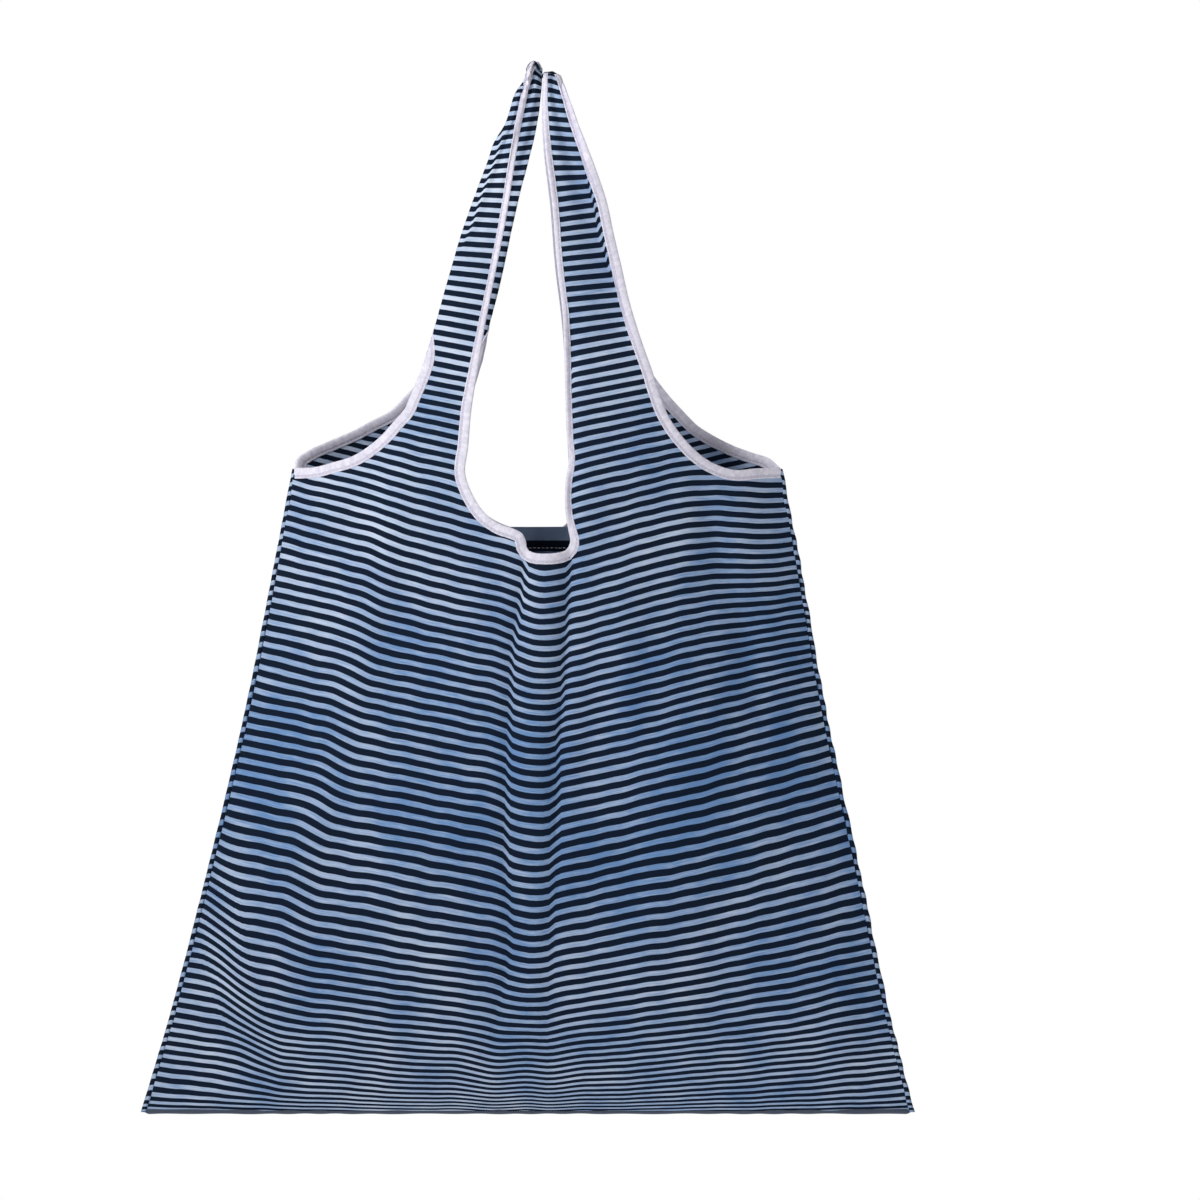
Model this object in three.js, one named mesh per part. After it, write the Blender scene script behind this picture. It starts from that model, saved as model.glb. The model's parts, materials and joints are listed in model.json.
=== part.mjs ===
// A foldable tote bag with a sleeveless-vest outline, hanging by both handles.
//
// Frame, in millimetres: +Z is up, the front faces -Y and +X is to the right seen from the front.
// The origin is on the flat underside of the left handle's shoulder seam, where a hook or rail holds it.
// Every cloth is a thin solid that follows one of two facing surfaces, the front and the back.

import * as THREE from 'three';

// ---------------------------------------------------------------- driving dimensions

const CLOTH = 1.6;                 // thickness of a solid that stands for one cloth
const BINDING_WIDTH = 7;           // folded tape that covers the raw edges
const BINDING_THICKNESS = 2.4;
const GAP = 0.4;                   // clearance between neighbouring pieces
const EDGE_GAP = 0.7;              // the same along a curved edge

const BOTTOM_Z = -681.5;           // lowest point of the bottom seam
const BOTTOM_SEAM_HEIGHT = 5;
const BOTTOM_SEAM_DEPTH = 11;
const UNDERARM_Z = -269;           // where the armholes meet the side seams
const MERGE_Z = -330;              // below this height the panels fill the whole width
const PANEL_ROWS = { lower: 8, upper: 4 };
const SIDE_SEAM_WIDTH = 3;
const SIDE_SEAM_DEPTH = 6;

const BASE_Z = -200;               // height of the line that the handles bend about
const BASE_CHORDS = 12;            // straight steps round the half circle at a strap's foot
const LEFT_BASE = { x: -59.5, radius: 11.4, outward: -1 };
const RIGHT_BASE = { x: 45.5, radius: 20.8, outward: 1 };

const CROWN_BEND_Z = -7.5;         // where the left straps begin to turn over the hook
const SHOULDER_THICKNESS = 3;
const RIGHT_CROWN_DROP = -7;       // the right handle hangs a little lower than the left

const EDGE_CLEARANCE = 2.4;        // half the distance between front and back at the side seams
const BULGE_POWER = 2.2;           // how square the bag's horizontal section is

const POUCH = { left: -89, right: 63, top: -300, bottom: -438, inset: 7.4, depth: 11 };
const HEM_HEIGHT = 15;
const POUCH_SEAM = { left: -62, right: 36, top: -302, bottom: -309, inset: 4.2, thickness: 2.2 };
const LOOP = { left: 49, width: 12, top: -303.5, drop: 20, inset: 21.4, opening: 6.6, thickness: 1 };

// Height against half depth of the bag, from the crown to the bottom seam.
const DEPTH = [
  [-681, 3.6], [-660, 10], [-620, 24], [-560, 40], [-480, 53], [-400, 59],
  [-330, 59], [-262, 53], [-200, 44], [-120, 31.5], [-60, 22], [-7.5, 14.4], [0, 13.4],
];

// Height against the outline's x, including the side seams.
const LEFT_OUTLINE = [[-682, -258], [-622, -240], [-530, -216], [-411, -188], [-330, -172], [-262, -159]];
const RIGHT_OUTLINE = [[-682, 242.5], [-621, 227], [-530, 208], [-411, 183], [-330, 169], [-262, 156]];

// Height against x along each edge of the two straps, bindings included.
const LEFT_OUTER = [[-222, -85], [-200, -78], [-172, -68], [-138, -58], [-101, -46], [-42, -23], [0, -9]];
const LEFT_INNER = [[-222, -43], [-200, -41], [-174, -35], [-157, -30], [-25, 0], [0, 2.5]];
const RIGHT_OUTER = [[-222, 82], [-200, 73.5], [-155, 58], [-112, 48], [-89, 43], [-51, 30], [-16, 18], [0, 14]];
const RIGHT_INNER = [[-222, 17], [-200, 17.5], [-144, 11], [-108, 8], [-30, 3.4], [0, 3.2]];

// The cloth's edge under each binding: x, height at the front, height at the back, and the x of
// the foot of that column of cloth at MERGE_Z.
const LEFT_ARMHOLE = [
  [-154.6, -268.6, -261, -168], [-146, -268, -257, -159], [-133, -265.5, -251.5, -145],
  [-119, -261, -245, -131], [-106, -253.5, -238, -119], [-96, -245, -231, -110],
  [-87, -234, -223.5, -102], [-80, -222, -216, -95], [-74.5, -211.5, -209.5, -89],
];
const NECK = [
  [-48, -202.5, -202.5, -65.5], [-51, -226, -224, -61], [-53, -250, -244, -58], [-55, -268, -262, -55.5],
  [-51.5, -281, -273, -52], [-41, -296, -288, -41.5], [-31, -305, -299, -31], [-19, -313, -306, -19],
  [-8, -320, -308.5, -8], [2, -324.5, -308.5, 2], [12, -325.5, -307, 12], [21, -323, -303, 21],
  [27, -316, -297, 27], [28, -303, -287, 29.5], [26.5, -285, -273, 32], [26, -261, -255, 35],
  [25, -232, -230, 39], [24.4, -202.5, -202.5, 43],
];
const RIGHT_ARMHOLE = [
  [66.6, -212, -211, 86], [71, -223, -219, 91], [77, -235, -226, 97], [86, -247, -234, 105],
  [97, -258, -242, 115], [112, -266.5, -249, 128], [127, -269.5, -254, 141], [139, -269.5, -258, 153],
  [151.6, -268.6, -261, 165],
];

// ---------------------------------------------------------------- finishes

const FINISHES = {
  striped: { color: 0x7c93b8, roughness: 0.85, metalness: 0 },
  navy: { color: 0x2a3550, roughness: 0.85, metalness: 0 },
  binding: { color: 0xe4e0ec, roughness: 0.8, metalness: 0 },
  ribbon: { color: 0x191919, roughness: 0.7, metalness: 0 },
};

// ---------------------------------------------------------------- curves and surfaces

// Value of a smooth curve through [position, value] stations, by cubic steps between them.
function follow(stations, position) {
  const last = stations.length - 1;
  const inside = THREE.MathUtils.clamp(position, stations[0][0], stations[last][0]);
  let k = 0;
  while (k < last - 1 && inside > stations[k + 1][0]) k += 1;
  const slope = (i) => {
    const a = stations[Math.max(i - 1, 0)];
    const b = stations[Math.min(i + 1, last)];
    return (b[1] - a[1]) / (b[0] - a[0]);
  };
  const [start, end] = [stations[k], stations[k + 1]];
  const span = end[0] - start[0];
  const t = (inside - start[0]) / span;
  const rise = t * t * (3 - 2 * t);
  const leave = t * (1 - t) * (1 - t) * span * slope(k);
  const arrive = -t * t * (1 - t) * span * slope(k + 1);
  return start[1] + (end[1] - start[1]) * rise + leave + arrive;
}

// Half depth of the bag at a point of its outline: deepest along the middle, closed at the sides.
function halfDepth(x, z) {
  const left = follow(LEFT_OUTLINE, z);
  const right = follow(RIGHT_OUTLINE, z);
  const across = Math.min(Math.abs((2 * x - left - right) / (right - left)), 1);
  return EDGE_CLEARANCE + (follow(DEPTH, z) - EDGE_CLEARANCE) * (1 - across ** BULGE_POWER);
}

// A point of the front (side -1) or back (side 1) surface, moved inwards by inset, and its normal.
function clothPoint(side, x, z, inset = 0) {
  const step = 0.5;
  const slopeX = (halfDepth(x + step, z) - halfDepth(x - step, z)) / (2 * step);
  const slopeZ = (halfDepth(x, z + step) - halfDepth(x, z - step)) / (2 * step);
  const out = new THREE.Vector3(-slopeX, side, -slopeZ).normalize();
  return { at: new THREE.Vector3(x, side * (halfDepth(x, z) - inset), z), out };
}

// A path moved sideways by a distance, to the right of its direction where the distance is positive.
function besidePath(path, distance) {
  return path.map(([x, z], i) => {
    const [x0, z0] = path[Math.max(i - 1, 0)];
    const [x1, z1] = path[Math.min(i + 1, path.length - 1)];
    const length = Math.hypot(x1 - x0, z1 - z0);
    return [x + (distance * (z1 - z0)) / length, z - (distance * (x1 - x0)) / length];
  });
}

const fractions = (count) => Array.from({ length: count + 1 }, (_, i) => i / count);
const blend = (a, b, t) => a + (b - a) * t;

// ---------------------------------------------------------------- solids

function meshOf(name, finish, positions, faces) {
  const corner = (i) => new THREE.Vector3().fromArray(positions, 3 * i);
  let volume = 0;
  for (let i = 0; i < faces.length; i += 3) {
    volume += corner(faces[i]).dot(corner(faces[i + 1]).cross(corner(faces[i + 2])));
  }
  const geometry = new THREE.BufferGeometry();
  geometry.setAttribute('position', new THREE.Float32BufferAttribute(positions, 3));
  geometry.setIndex(volume < 0 ? faces.slice().reverse() : faces);
  geometry.computeVertexNormals();
  const mesh = new THREE.Mesh(geometry, new THREE.MeshStandardMaterial(FINISHES[finish]));
  mesh.name = name;
  return mesh;
}

// A closed sheet around a grid of { at, out } points: both faces and the four edges.
function sheet(name, finish, grid, thickness = CLOTH) {
  const rows = grid[0].length;
  const positions = grid.flat().flatMap(({ at, out }) => [
    ...at.clone().addScaledVector(out, thickness / 2).toArray(),
    ...at.clone().addScaledVector(out, -thickness / 2).toArray(),
  ]);
  const vertex = (i, j, face) => 2 * (i * rows + j) + face;
  const faces = [];
  const quad = (a, b, c, d) => faces.push(a, b, c, a, c, d);
  for (let i = 0; i < grid.length - 1; i += 1) {
    for (let j = 0; j < rows - 1; j += 1) {
      quad(vertex(i, j, 0), vertex(i + 1, j, 0), vertex(i + 1, j + 1, 0), vertex(i, j + 1, 0));
      quad(vertex(i, j, 1), vertex(i, j + 1, 1), vertex(i + 1, j + 1, 1), vertex(i + 1, j, 1));
    }
  }
  const lastColumn = grid.length - 1;
  const lastRow = rows - 1;
  for (let i = 0; i < lastColumn; i += 1) {
    quad(vertex(i, 0, 1), vertex(i + 1, 0, 1), vertex(i + 1, 0, 0), vertex(i, 0, 0));
    quad(vertex(i, lastRow, 0), vertex(i + 1, lastRow, 0), vertex(i + 1, lastRow, 1), vertex(i, lastRow, 1));
  }
  for (let j = 0; j < lastRow; j += 1) {
    quad(vertex(0, j, 0), vertex(0, j + 1, 0), vertex(0, j + 1, 1), vertex(0, j, 1));
    quad(vertex(lastColumn, j, 1), vertex(lastColumn, j + 1, 1), vertex(lastColumn, j + 1, 0), vertex(lastColumn, j, 0));
  }
  return meshOf(name, finish, positions, faces);
}

// A binding that covers a cloth's edge: the strip beside the edge, on the side away from the cloth.
function binding(name, side, edge, awaySign) {
  const near = besidePath(edge, awaySign * EDGE_GAP);
  const far = besidePath(edge, awaySign * (EDGE_GAP + BINDING_WIDTH));
  const grid = near.map(([x, z], i) => [clothPoint(side, x, z), clothPoint(side, far[i][0], far[i][1])]);
  return sheet(name, 'binding', grid, BINDING_THICKNESS);
}

// ---------------------------------------------------------------- bag body

const sideName = (side) => (side < 0 ? 'front' : 'back');
const edgeOf = (stations, side) => stations.map(([x, front, back]) => [x, side < 0 ? front : back]);

// The hollow in the top of a panel that a strap's round base turns in.
function baseHollow(base) {
  const radius = base.radius + GAP;
  const turns = fractions(BASE_CHORDS).map((t) => Math.PI * t);
  return turns.map((a) => [base.x - radius * Math.cos(a), BASE_Z - radius * Math.sin(a)]);
}

// The top of a panel, from left to right, as [x, height, x of the column's foot].
function panelTop(side) {
  const edge = (stations) => stations.map(([x, front, back, foot]) => [x, side < 0 ? front : back, foot]);
  const hollow = (base, from, to) => {
    const points = baseHollow(base);
    return points.map(([x, z], i) => [x, z, blend(from, to, (i + 1) / (points.length + 1))]);
  };
  const neckFoot = [NECK[0][3], NECK[NECK.length - 1][3]];
  return [
    ...edge(LEFT_ARMHOLE),
    ...hollow(LEFT_BASE, LEFT_ARMHOLE[LEFT_ARMHOLE.length - 1][3], neckFoot[0]),
    ...edge(NECK),
    ...hollow(RIGHT_BASE, neckFoot[1], RIGHT_ARMHOLE[0][3]),
    ...edge(RIGHT_ARMHOLE),
  ];
}

function panel(side) {
  const seam = SIDE_SEAM_WIDTH + 1.2;
  const bottom = BOTTOM_Z + BOTTOM_SEAM_HEIGHT + GAP;
  const leftAt = (z) => follow(LEFT_OUTLINE, z) + seam;
  const rightAt = (z) => follow(RIGHT_OUTLINE, z) - seam;
  const grid = panelTop(side).map(([topX, topZ, foot]) => {
    const across = (foot - leftAt(MERGE_Z)) / (rightAt(MERGE_Z) - leftAt(MERGE_Z));
    const inside = THREE.MathUtils.clamp(across, 0, 1);
    const lower = fractions(PANEL_ROWS.lower).map((t) => {
      const z = blend(bottom, MERGE_Z, t);
      return clothPoint(side, blend(leftAt(z), rightAt(z), inside), z);
    });
    const footX = blend(leftAt(MERGE_Z), rightAt(MERGE_Z), inside);
    const upper = fractions(PANEL_ROWS.upper).slice(1).map((t) => (
      clothPoint(side, blend(footX, topX, t), blend(MERGE_Z, topZ, t))
    ));
    return [...lower, ...upper];
  });
  return sheet(`${sideName(side)}_panel`, 'striped', grid);
}

function sideSeam(name, outline, inwards) {
  const out = new THREE.Vector3(0, 1, 0);
  const grid = fractions(12).map((t) => {
    const z = blend(BOTTOM_Z, UNDERARM_Z, t);
    const x = follow(outline, z);
    return [0, SIDE_SEAM_WIDTH].map((w) => ({ at: new THREE.Vector3(x + inwards * w, 0, z), out }));
  });
  return sheet(name, 'striped', grid, SIDE_SEAM_DEPTH);
}

function bottomSeam() {
  const out = new THREE.Vector3(0, 1, 0);
  const inset = SIDE_SEAM_WIDTH + GAP;
  const grid = fractions(12).map((t) => [BOTTOM_Z, BOTTOM_Z + BOTTOM_SEAM_HEIGHT].map((z) => {
    const x = blend(follow(LEFT_OUTLINE, z) + inset, follow(RIGHT_OUTLINE, z) - inset, t);
    return { at: new THREE.Vector3(x, 0, z), out };
  }));
  return sheet('bottom_seam', 'navy', grid, BOTTOM_SEAM_DEPTH);
}

function bodyBindings(side) {
  const name = sideName(side);
  return [
    binding(`${name}_neck_binding`, side, edgeOf(NECK, side), -1),
    binding(`${name}_left_armhole_binding`, side, edgeOf(LEFT_ARMHOLE, side), -1),
    binding(`${name}_right_armhole_binding`, side, edgeOf(RIGHT_ARMHOLE, side), -1),
  ];
}

// ---------------------------------------------------------------- handles

const HANDLES = {
  left: { base: LEFT_BASE, outer: LEFT_OUTER, inner: LEFT_INNER, crownDrop: 0, outerStart: 17 },
  right: { base: RIGHT_BASE, outer: RIGHT_OUTER, inner: RIGHT_INNER, crownDrop: RIGHT_CROWN_DROP, outerStart: 11 },
};

// x across a strap at a height: 0 is its outer edge and 1 its inner edge, bindings included.
const acrossStrap = (handle, z, t) => blend(follow(handle.outer, z), follow(handle.inner, z), t);

// The share of a strap's width that one binding takes, less where the strap is bunched.
function bindingShare(handle, z) {
  const width = Math.abs(follow(handle.outer, z) - follow(handle.inner, z));
  return Math.min(BINDING_WIDTH / width, 0.3);
}

// Where a handle turns over the hook: the height and radius of the turn, the middle of the seam's
// thickness, and how far the seam reaches to the front and the back.
function crownOf(handle) {
  const bendZ = CROWN_BEND_Z + handle.crownDrop;
  const seamZ = handle.crownDrop + SHOULDER_THICKNESS / 2;
  const radius = seamZ - bendZ;
  return { bendZ, seamZ, radius, seamReach: follow(DEPTH, bendZ) - radius - GAP };
}

// The quarter turn of a strap over the hook, from upright (turn 0) to level (turn 1).
function crownPoint(side, handle, across, turn) {
  const { bendZ, radius, seamReach } = crownOf(handle);
  const reach = seamReach + GAP;
  const angle = (turn * Math.PI) / 2;
  const z = bendZ + radius * Math.sin(angle);
  const out = new THREE.Vector3(0, side * Math.cos(angle), Math.sin(angle));
  const y = side * (reach + radius * Math.cos(angle));
  return { at: new THREE.Vector3(acrossStrap(handle, Math.min(z, 0), across), y, z), out };
}

function strap(side, handName) {
  const handle = HANDLES[handName];
  const { base } = handle;
  const { bendZ } = crownOf(handle);
  const clearOfBinding = (z) => bindingShare(handle, z) + GAP / 20;
  const grid = fractions(BASE_CHORDS).map((t) => {
    const angle = Math.PI * t;
    const footX = base.x + base.outward * base.radius * Math.cos(angle);
    const foot = clothPoint(side, footX, BASE_Z - base.radius * Math.sin(angle));
    const rising = [0.03, 0.12, 0.25, 0.4, 0.55, 0.7, 0.85, 1].map((s) => {
      const z = blend(BASE_Z, bendZ, s);
      const edge = clearOfBinding(z);
      return clothPoint(side, acrossStrap(handle, z, blend(edge, 1 - edge, (1 - Math.cos(angle)) / 2)), z);
    });
    const over = [0.25, 0.5, 0.75, 1].map((turn) => {
      const edge = clearOfBinding(bendZ);
      return crownPoint(side, handle, blend(edge, 1 - edge, (1 - Math.cos(angle)) / 2), turn);
    });
    return [foot, ...rising, ...over];
  });
  return sheet(`${sideName(side)}_${handName}_strap`, 'striped', grid);
}

function strapBinding(side, handName, edgeName) {
  const handle = HANDLES[handName];
  const { bendZ } = crownOf(handle);
  const start = edgeName === 'outer' ? BASE_Z + handle.outerStart : BASE_Z + 1;
  const grid = fractions(10).map((s) => {
    const z = blend(start, bendZ, s);
    const share = bindingShare(handle, z) - GAP / 20;
    const limits = edgeName === 'outer' ? [0, share] : [1 - share, 1];
    return limits.map((across) => clothPoint(side, acrossStrap(handle, z, across), z));
  });
  return sheet(`${sideName(side)}_${handName}_${edgeName}_binding`, 'binding', grid, BINDING_THICKNESS);
}

// The doubled cloth at the top of a handle, with a flat underside for the hook.
function shoulderSeam(handName) {
  const handle = HANDLES[handName];
  const { seamZ, seamReach } = crownOf(handle);
  const out = new THREE.Vector3(0, 0, 1);
  const grid = [0.04, 0.96].map((across) => [-1, 0, 1].map((s) => {
    const x = acrossStrap(handle, Math.min(seamZ, 0), across);
    return { at: new THREE.Vector3(x, s * seamReach, seamZ), out };
  }));
  return sheet(`${handName}_shoulder_seam`, 'binding', grid, SHOULDER_THICKNESS);
}

function handlePieces(handName) {
  const straps = [-1, 1].flatMap((side) => [
    strap(side, handName),
    strapBinding(side, handName, 'outer'),
    strapBinding(side, handName, 'inner'),
  ]);
  return [...straps, shoulderSeam(handName)];
}

// ---------------------------------------------------------------- storage pouch and its loop

// A wall of the pouch, parallel to the back panel.
function pouchWall(name, finish, inset, top, bottom) {
  const grid = fractions(10).map((t) => fractions(5).map((s) => (
    clothPoint(1, blend(POUCH.left, POUCH.right, t), blend(bottom, top, s), inset)
  )));
  return sheet(name, finish, grid);
}

// The seam that closes the pouch's sides and bottom, from one wall to the other.
function pouchEdge() {
  const clear = 2;
  const [left, right, bottom] = [POUCH.left - clear, POUCH.right + clear, POUCH.bottom - clear];
  const path = [
    ...fractions(4).map((t) => [left, blend(POUCH.top - HEM_HEIGHT, bottom, t), -1, t === 1 ? -1 : 0]),
    ...fractions(10).slice(1, -1).map((t) => [blend(left, right, t), bottom, 0, -1]),
    ...fractions(4).map((t) => [right, blend(bottom, POUCH.top - HEM_HEIGHT, t), 1, t === 0 ? -1 : 0]),
  ];
  const reach = [POUCH.inset - CLOTH / 2, POUCH.inset + POUCH.depth + CLOTH / 2];
  const grid = path.map(([x, z, outX, outZ]) => reach.map((inset) => (
    { at: clothPoint(1, x, z, inset).at, out: new THREE.Vector3(outX, 0, outZ) }
  )));
  return sheet('pouch_edge_seam', 'navy', grid);
}

function pouchSeam() {
  const grid = fractions(8).map((t) => [POUCH_SEAM.bottom, POUCH_SEAM.top].map((z) => (
    clothPoint(1, blend(POUCH_SEAM.left, POUCH_SEAM.right, t), z, POUCH_SEAM.inset)
  )));
  return sheet('pouch_attachment_seam', 'navy', grid, POUCH_SEAM.thickness);
}

// A ribbon that goes down, turns and comes back up in front of the pouch.
function hangingLoop() {
  const middle = LOOP.left + LOOP.width / 2;
  const wallY = clothPoint(1, middle, LOOP.top, LOOP.inset).at.y;
  const radius = LOOP.opening / 2;
  const turnZ = LOOP.top - LOOP.drop + radius;
  const route = [
    ...[0, 0.5].map((t) => [wallY, blend(LOOP.top, turnZ, t), 1, 0]),
    ...fractions(8).map((t) => {
      const angle = Math.PI * t;
      const [c, s] = [Math.cos(angle), Math.sin(angle)];
      return [wallY - radius + radius * c, turnZ - radius * s, c, -s];
    }),
    ...[0.5, 1].map((t) => [wallY - LOOP.opening, blend(turnZ, LOOP.top, t), -1, 0]),
  ];
  const grid = route.map(([y, z, outY, outZ]) => [0, LOOP.width].map((w) => (
    { at: new THREE.Vector3(LOOP.left + w, y, z), out: new THREE.Vector3(0, outY, outZ) }
  )));
  return sheet('hanging_loop', 'ribbon', grid, LOOP.thickness);
}

function pouchPieces() {
  const hemBottom = POUCH.top - HEM_HEIGHT + GAP;
  const front = POUCH.inset + POUCH.depth;
  return [
    pouchWall('pouch_back_wall', 'striped', POUCH.inset, POUCH.top, POUCH.bottom),
    pouchWall('pouch_front_wall', 'striped', front, POUCH.top - HEM_HEIGHT - GAP, POUCH.bottom),
    pouchWall('pouch_mouth_hem', 'navy', front, POUCH.top, hemBottom),
    pouchEdge(),
  ];
}

// ---------------------------------------------------------------- assembly

const bag = new THREE.Group();
bag.add(
  panel(-1),
  panel(1),
  sideSeam('left_side_seam', LEFT_OUTLINE, 1),
  sideSeam('right_side_seam', RIGHT_OUTLINE, -1),
  bottomSeam(),
  ...bodyBindings(-1),
  ...bodyBindings(1),
  pouchSeam(),
);

const handles = new THREE.Group();
handles.add(...handlePieces('left'), ...handlePieces('right'));

const pouch = new THREE.Group();
pouch.add(...pouchPieces(), hangingLoop());

const tote = new THREE.Group();
tote.add(bag, handles, pouch);

export default tote;
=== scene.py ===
# %% [markdown]
# # A foldable tote bag, dressed for rendering
#
# The bag is thin striped cloth, cut like a vest: two panels that run up into four straps, white tape
# folded over every cut edge, and a small pouch sewn inside the mouth, which the whole bag folds into.
# The engineering model gives the places of the pieces, the joints and the overall size. This script
# makes the cloth around that frame. Nothing here moves a joint or changes a size.

# %% The frame
import json
import math

import bpy
import numpy as np
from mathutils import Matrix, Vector

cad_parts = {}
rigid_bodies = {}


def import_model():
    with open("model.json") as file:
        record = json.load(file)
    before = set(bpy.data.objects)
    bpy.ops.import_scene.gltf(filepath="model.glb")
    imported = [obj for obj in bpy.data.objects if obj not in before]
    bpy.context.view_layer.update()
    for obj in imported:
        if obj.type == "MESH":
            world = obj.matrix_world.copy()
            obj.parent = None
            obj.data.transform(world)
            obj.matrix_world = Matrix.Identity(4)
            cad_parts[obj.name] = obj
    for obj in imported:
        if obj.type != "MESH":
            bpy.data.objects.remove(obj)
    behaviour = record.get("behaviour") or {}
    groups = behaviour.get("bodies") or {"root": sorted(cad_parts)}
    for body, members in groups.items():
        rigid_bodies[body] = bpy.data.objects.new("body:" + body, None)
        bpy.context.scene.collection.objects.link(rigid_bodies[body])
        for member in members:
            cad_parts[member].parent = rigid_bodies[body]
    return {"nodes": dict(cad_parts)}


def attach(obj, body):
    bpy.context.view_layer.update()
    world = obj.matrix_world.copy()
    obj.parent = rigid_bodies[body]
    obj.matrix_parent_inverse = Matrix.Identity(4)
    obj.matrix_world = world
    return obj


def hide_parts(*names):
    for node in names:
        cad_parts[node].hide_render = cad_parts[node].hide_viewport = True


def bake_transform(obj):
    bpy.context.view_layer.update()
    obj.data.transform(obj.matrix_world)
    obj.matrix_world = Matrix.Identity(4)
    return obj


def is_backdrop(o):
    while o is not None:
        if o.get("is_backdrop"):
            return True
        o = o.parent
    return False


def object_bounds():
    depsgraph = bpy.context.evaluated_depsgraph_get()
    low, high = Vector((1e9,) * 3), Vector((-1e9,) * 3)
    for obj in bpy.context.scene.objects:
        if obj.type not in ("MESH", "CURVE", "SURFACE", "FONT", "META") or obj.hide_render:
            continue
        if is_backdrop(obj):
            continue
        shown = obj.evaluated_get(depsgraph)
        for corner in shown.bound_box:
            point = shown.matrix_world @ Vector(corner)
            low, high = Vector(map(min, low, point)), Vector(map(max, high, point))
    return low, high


MM = 0.001

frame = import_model()
cad_low, cad_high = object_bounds()
print("frame:", len(frame["nodes"]), "nodes, size", [round(x, 3) for x in cad_high - cad_low])

# %% [markdown]
# ## The camera comes first
#
# The bag hangs in front of a white background and is seen square on, with hardly any perspective.
# A long lens a long way off gives that. The view is 780 mm wide at the bag, and the bag hangs a
# little left of its middle.

# %% The camera
VIEW_WIDTH = 0.78
CAMERA_DISTANCE = 8.0
VIEW_OFFSET = Vector((0.047, 0, -0.0085))


def make_camera():
    """A long lens on the -Y side: its focal length is the sensor's width times distance over view width."""
    data = bpy.data.cameras.new("camera")
    data.lens = data.sensor_width * CAMERA_DISTANCE / VIEW_WIDTH
    camera = bpy.data.objects.new("camera", data)
    middle = (cad_low + cad_high) / 2 + VIEW_OFFSET
    camera.location = (middle.x, -CAMERA_DISTANCE, middle.z)
    camera.rotation_euler = (math.pi / 2, 0, 0)
    bpy.context.scene.collection.objects.link(camera)
    bpy.context.scene.camera = camera
    return camera


print("lens:", round(make_camera().data.lens), "mm")

# %% [markdown]
# ## Writing a finish as sums
#
# A cloth's colour is worked out from where a point lies in the weave. Node trees for that are long,
# so a small class stands for one output of a node. Its plus, minus, times and divide add Math nodes,
# and a finish reads like the sum it is.

# %% Sockets that add up
OBJECT_PLACE = 3  # the number of the Object output of a Texture Coordinate node
X_AXIS, Y_AXIS, Z_AXIS = 0, 1, 2


class Amount:
    """One output of a node in a finish, with arithmetic that adds Math nodes."""

    def __init__(self, finish, socket):
        self.finish = finish
        self.socket = socket

    def maths(self, operation, *values):
        return self.finish.node("Math", {"operation": operation}, dict(enumerate(values)))

    def __add__(self, other):
        return self.maths("ADD", self, other)

    def __sub__(self, other):
        return self.maths("SUBTRACT", self, other)

    def __rsub__(self, other):
        return self.maths("SUBTRACT", other, self)

    def __mul__(self, other):
        return self.maths("MULTIPLY", self, other)

    def __truediv__(self, other):
        return self.maths("DIVIDE", self, other)

    def fract(self):
        return self.maths("FRACT", self)

    def size(self):
        return self.maths("ABSOLUTE", self)

    def wave(self, length):
        """A sine wave over the amount, with that wavelength."""
        return self.maths("SINE", self * (2 * math.pi / length))

    def rise(self, start, end):
        """0 at `start`, 1 at `end`, and a straight line between."""
        return self.finish.node("MapRange", {}, {"Value": self, "From Min": start, "From Max": end})

    def within(self, inside, outside):
        """1 where the amount is under `inside`, 0 where it is over `outside`, smooth between."""
        settings = {"interpolation_type": "SMOOTHSTEP"}
        sockets = {"Value": self, "From Min": inside, "From Max": outside, "To Min": 1.0, "To Max": 0.0}
        return self.finish.node("MapRange", settings, sockets)

    __radd__ = __add__
    __rmul__ = __mul__


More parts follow.
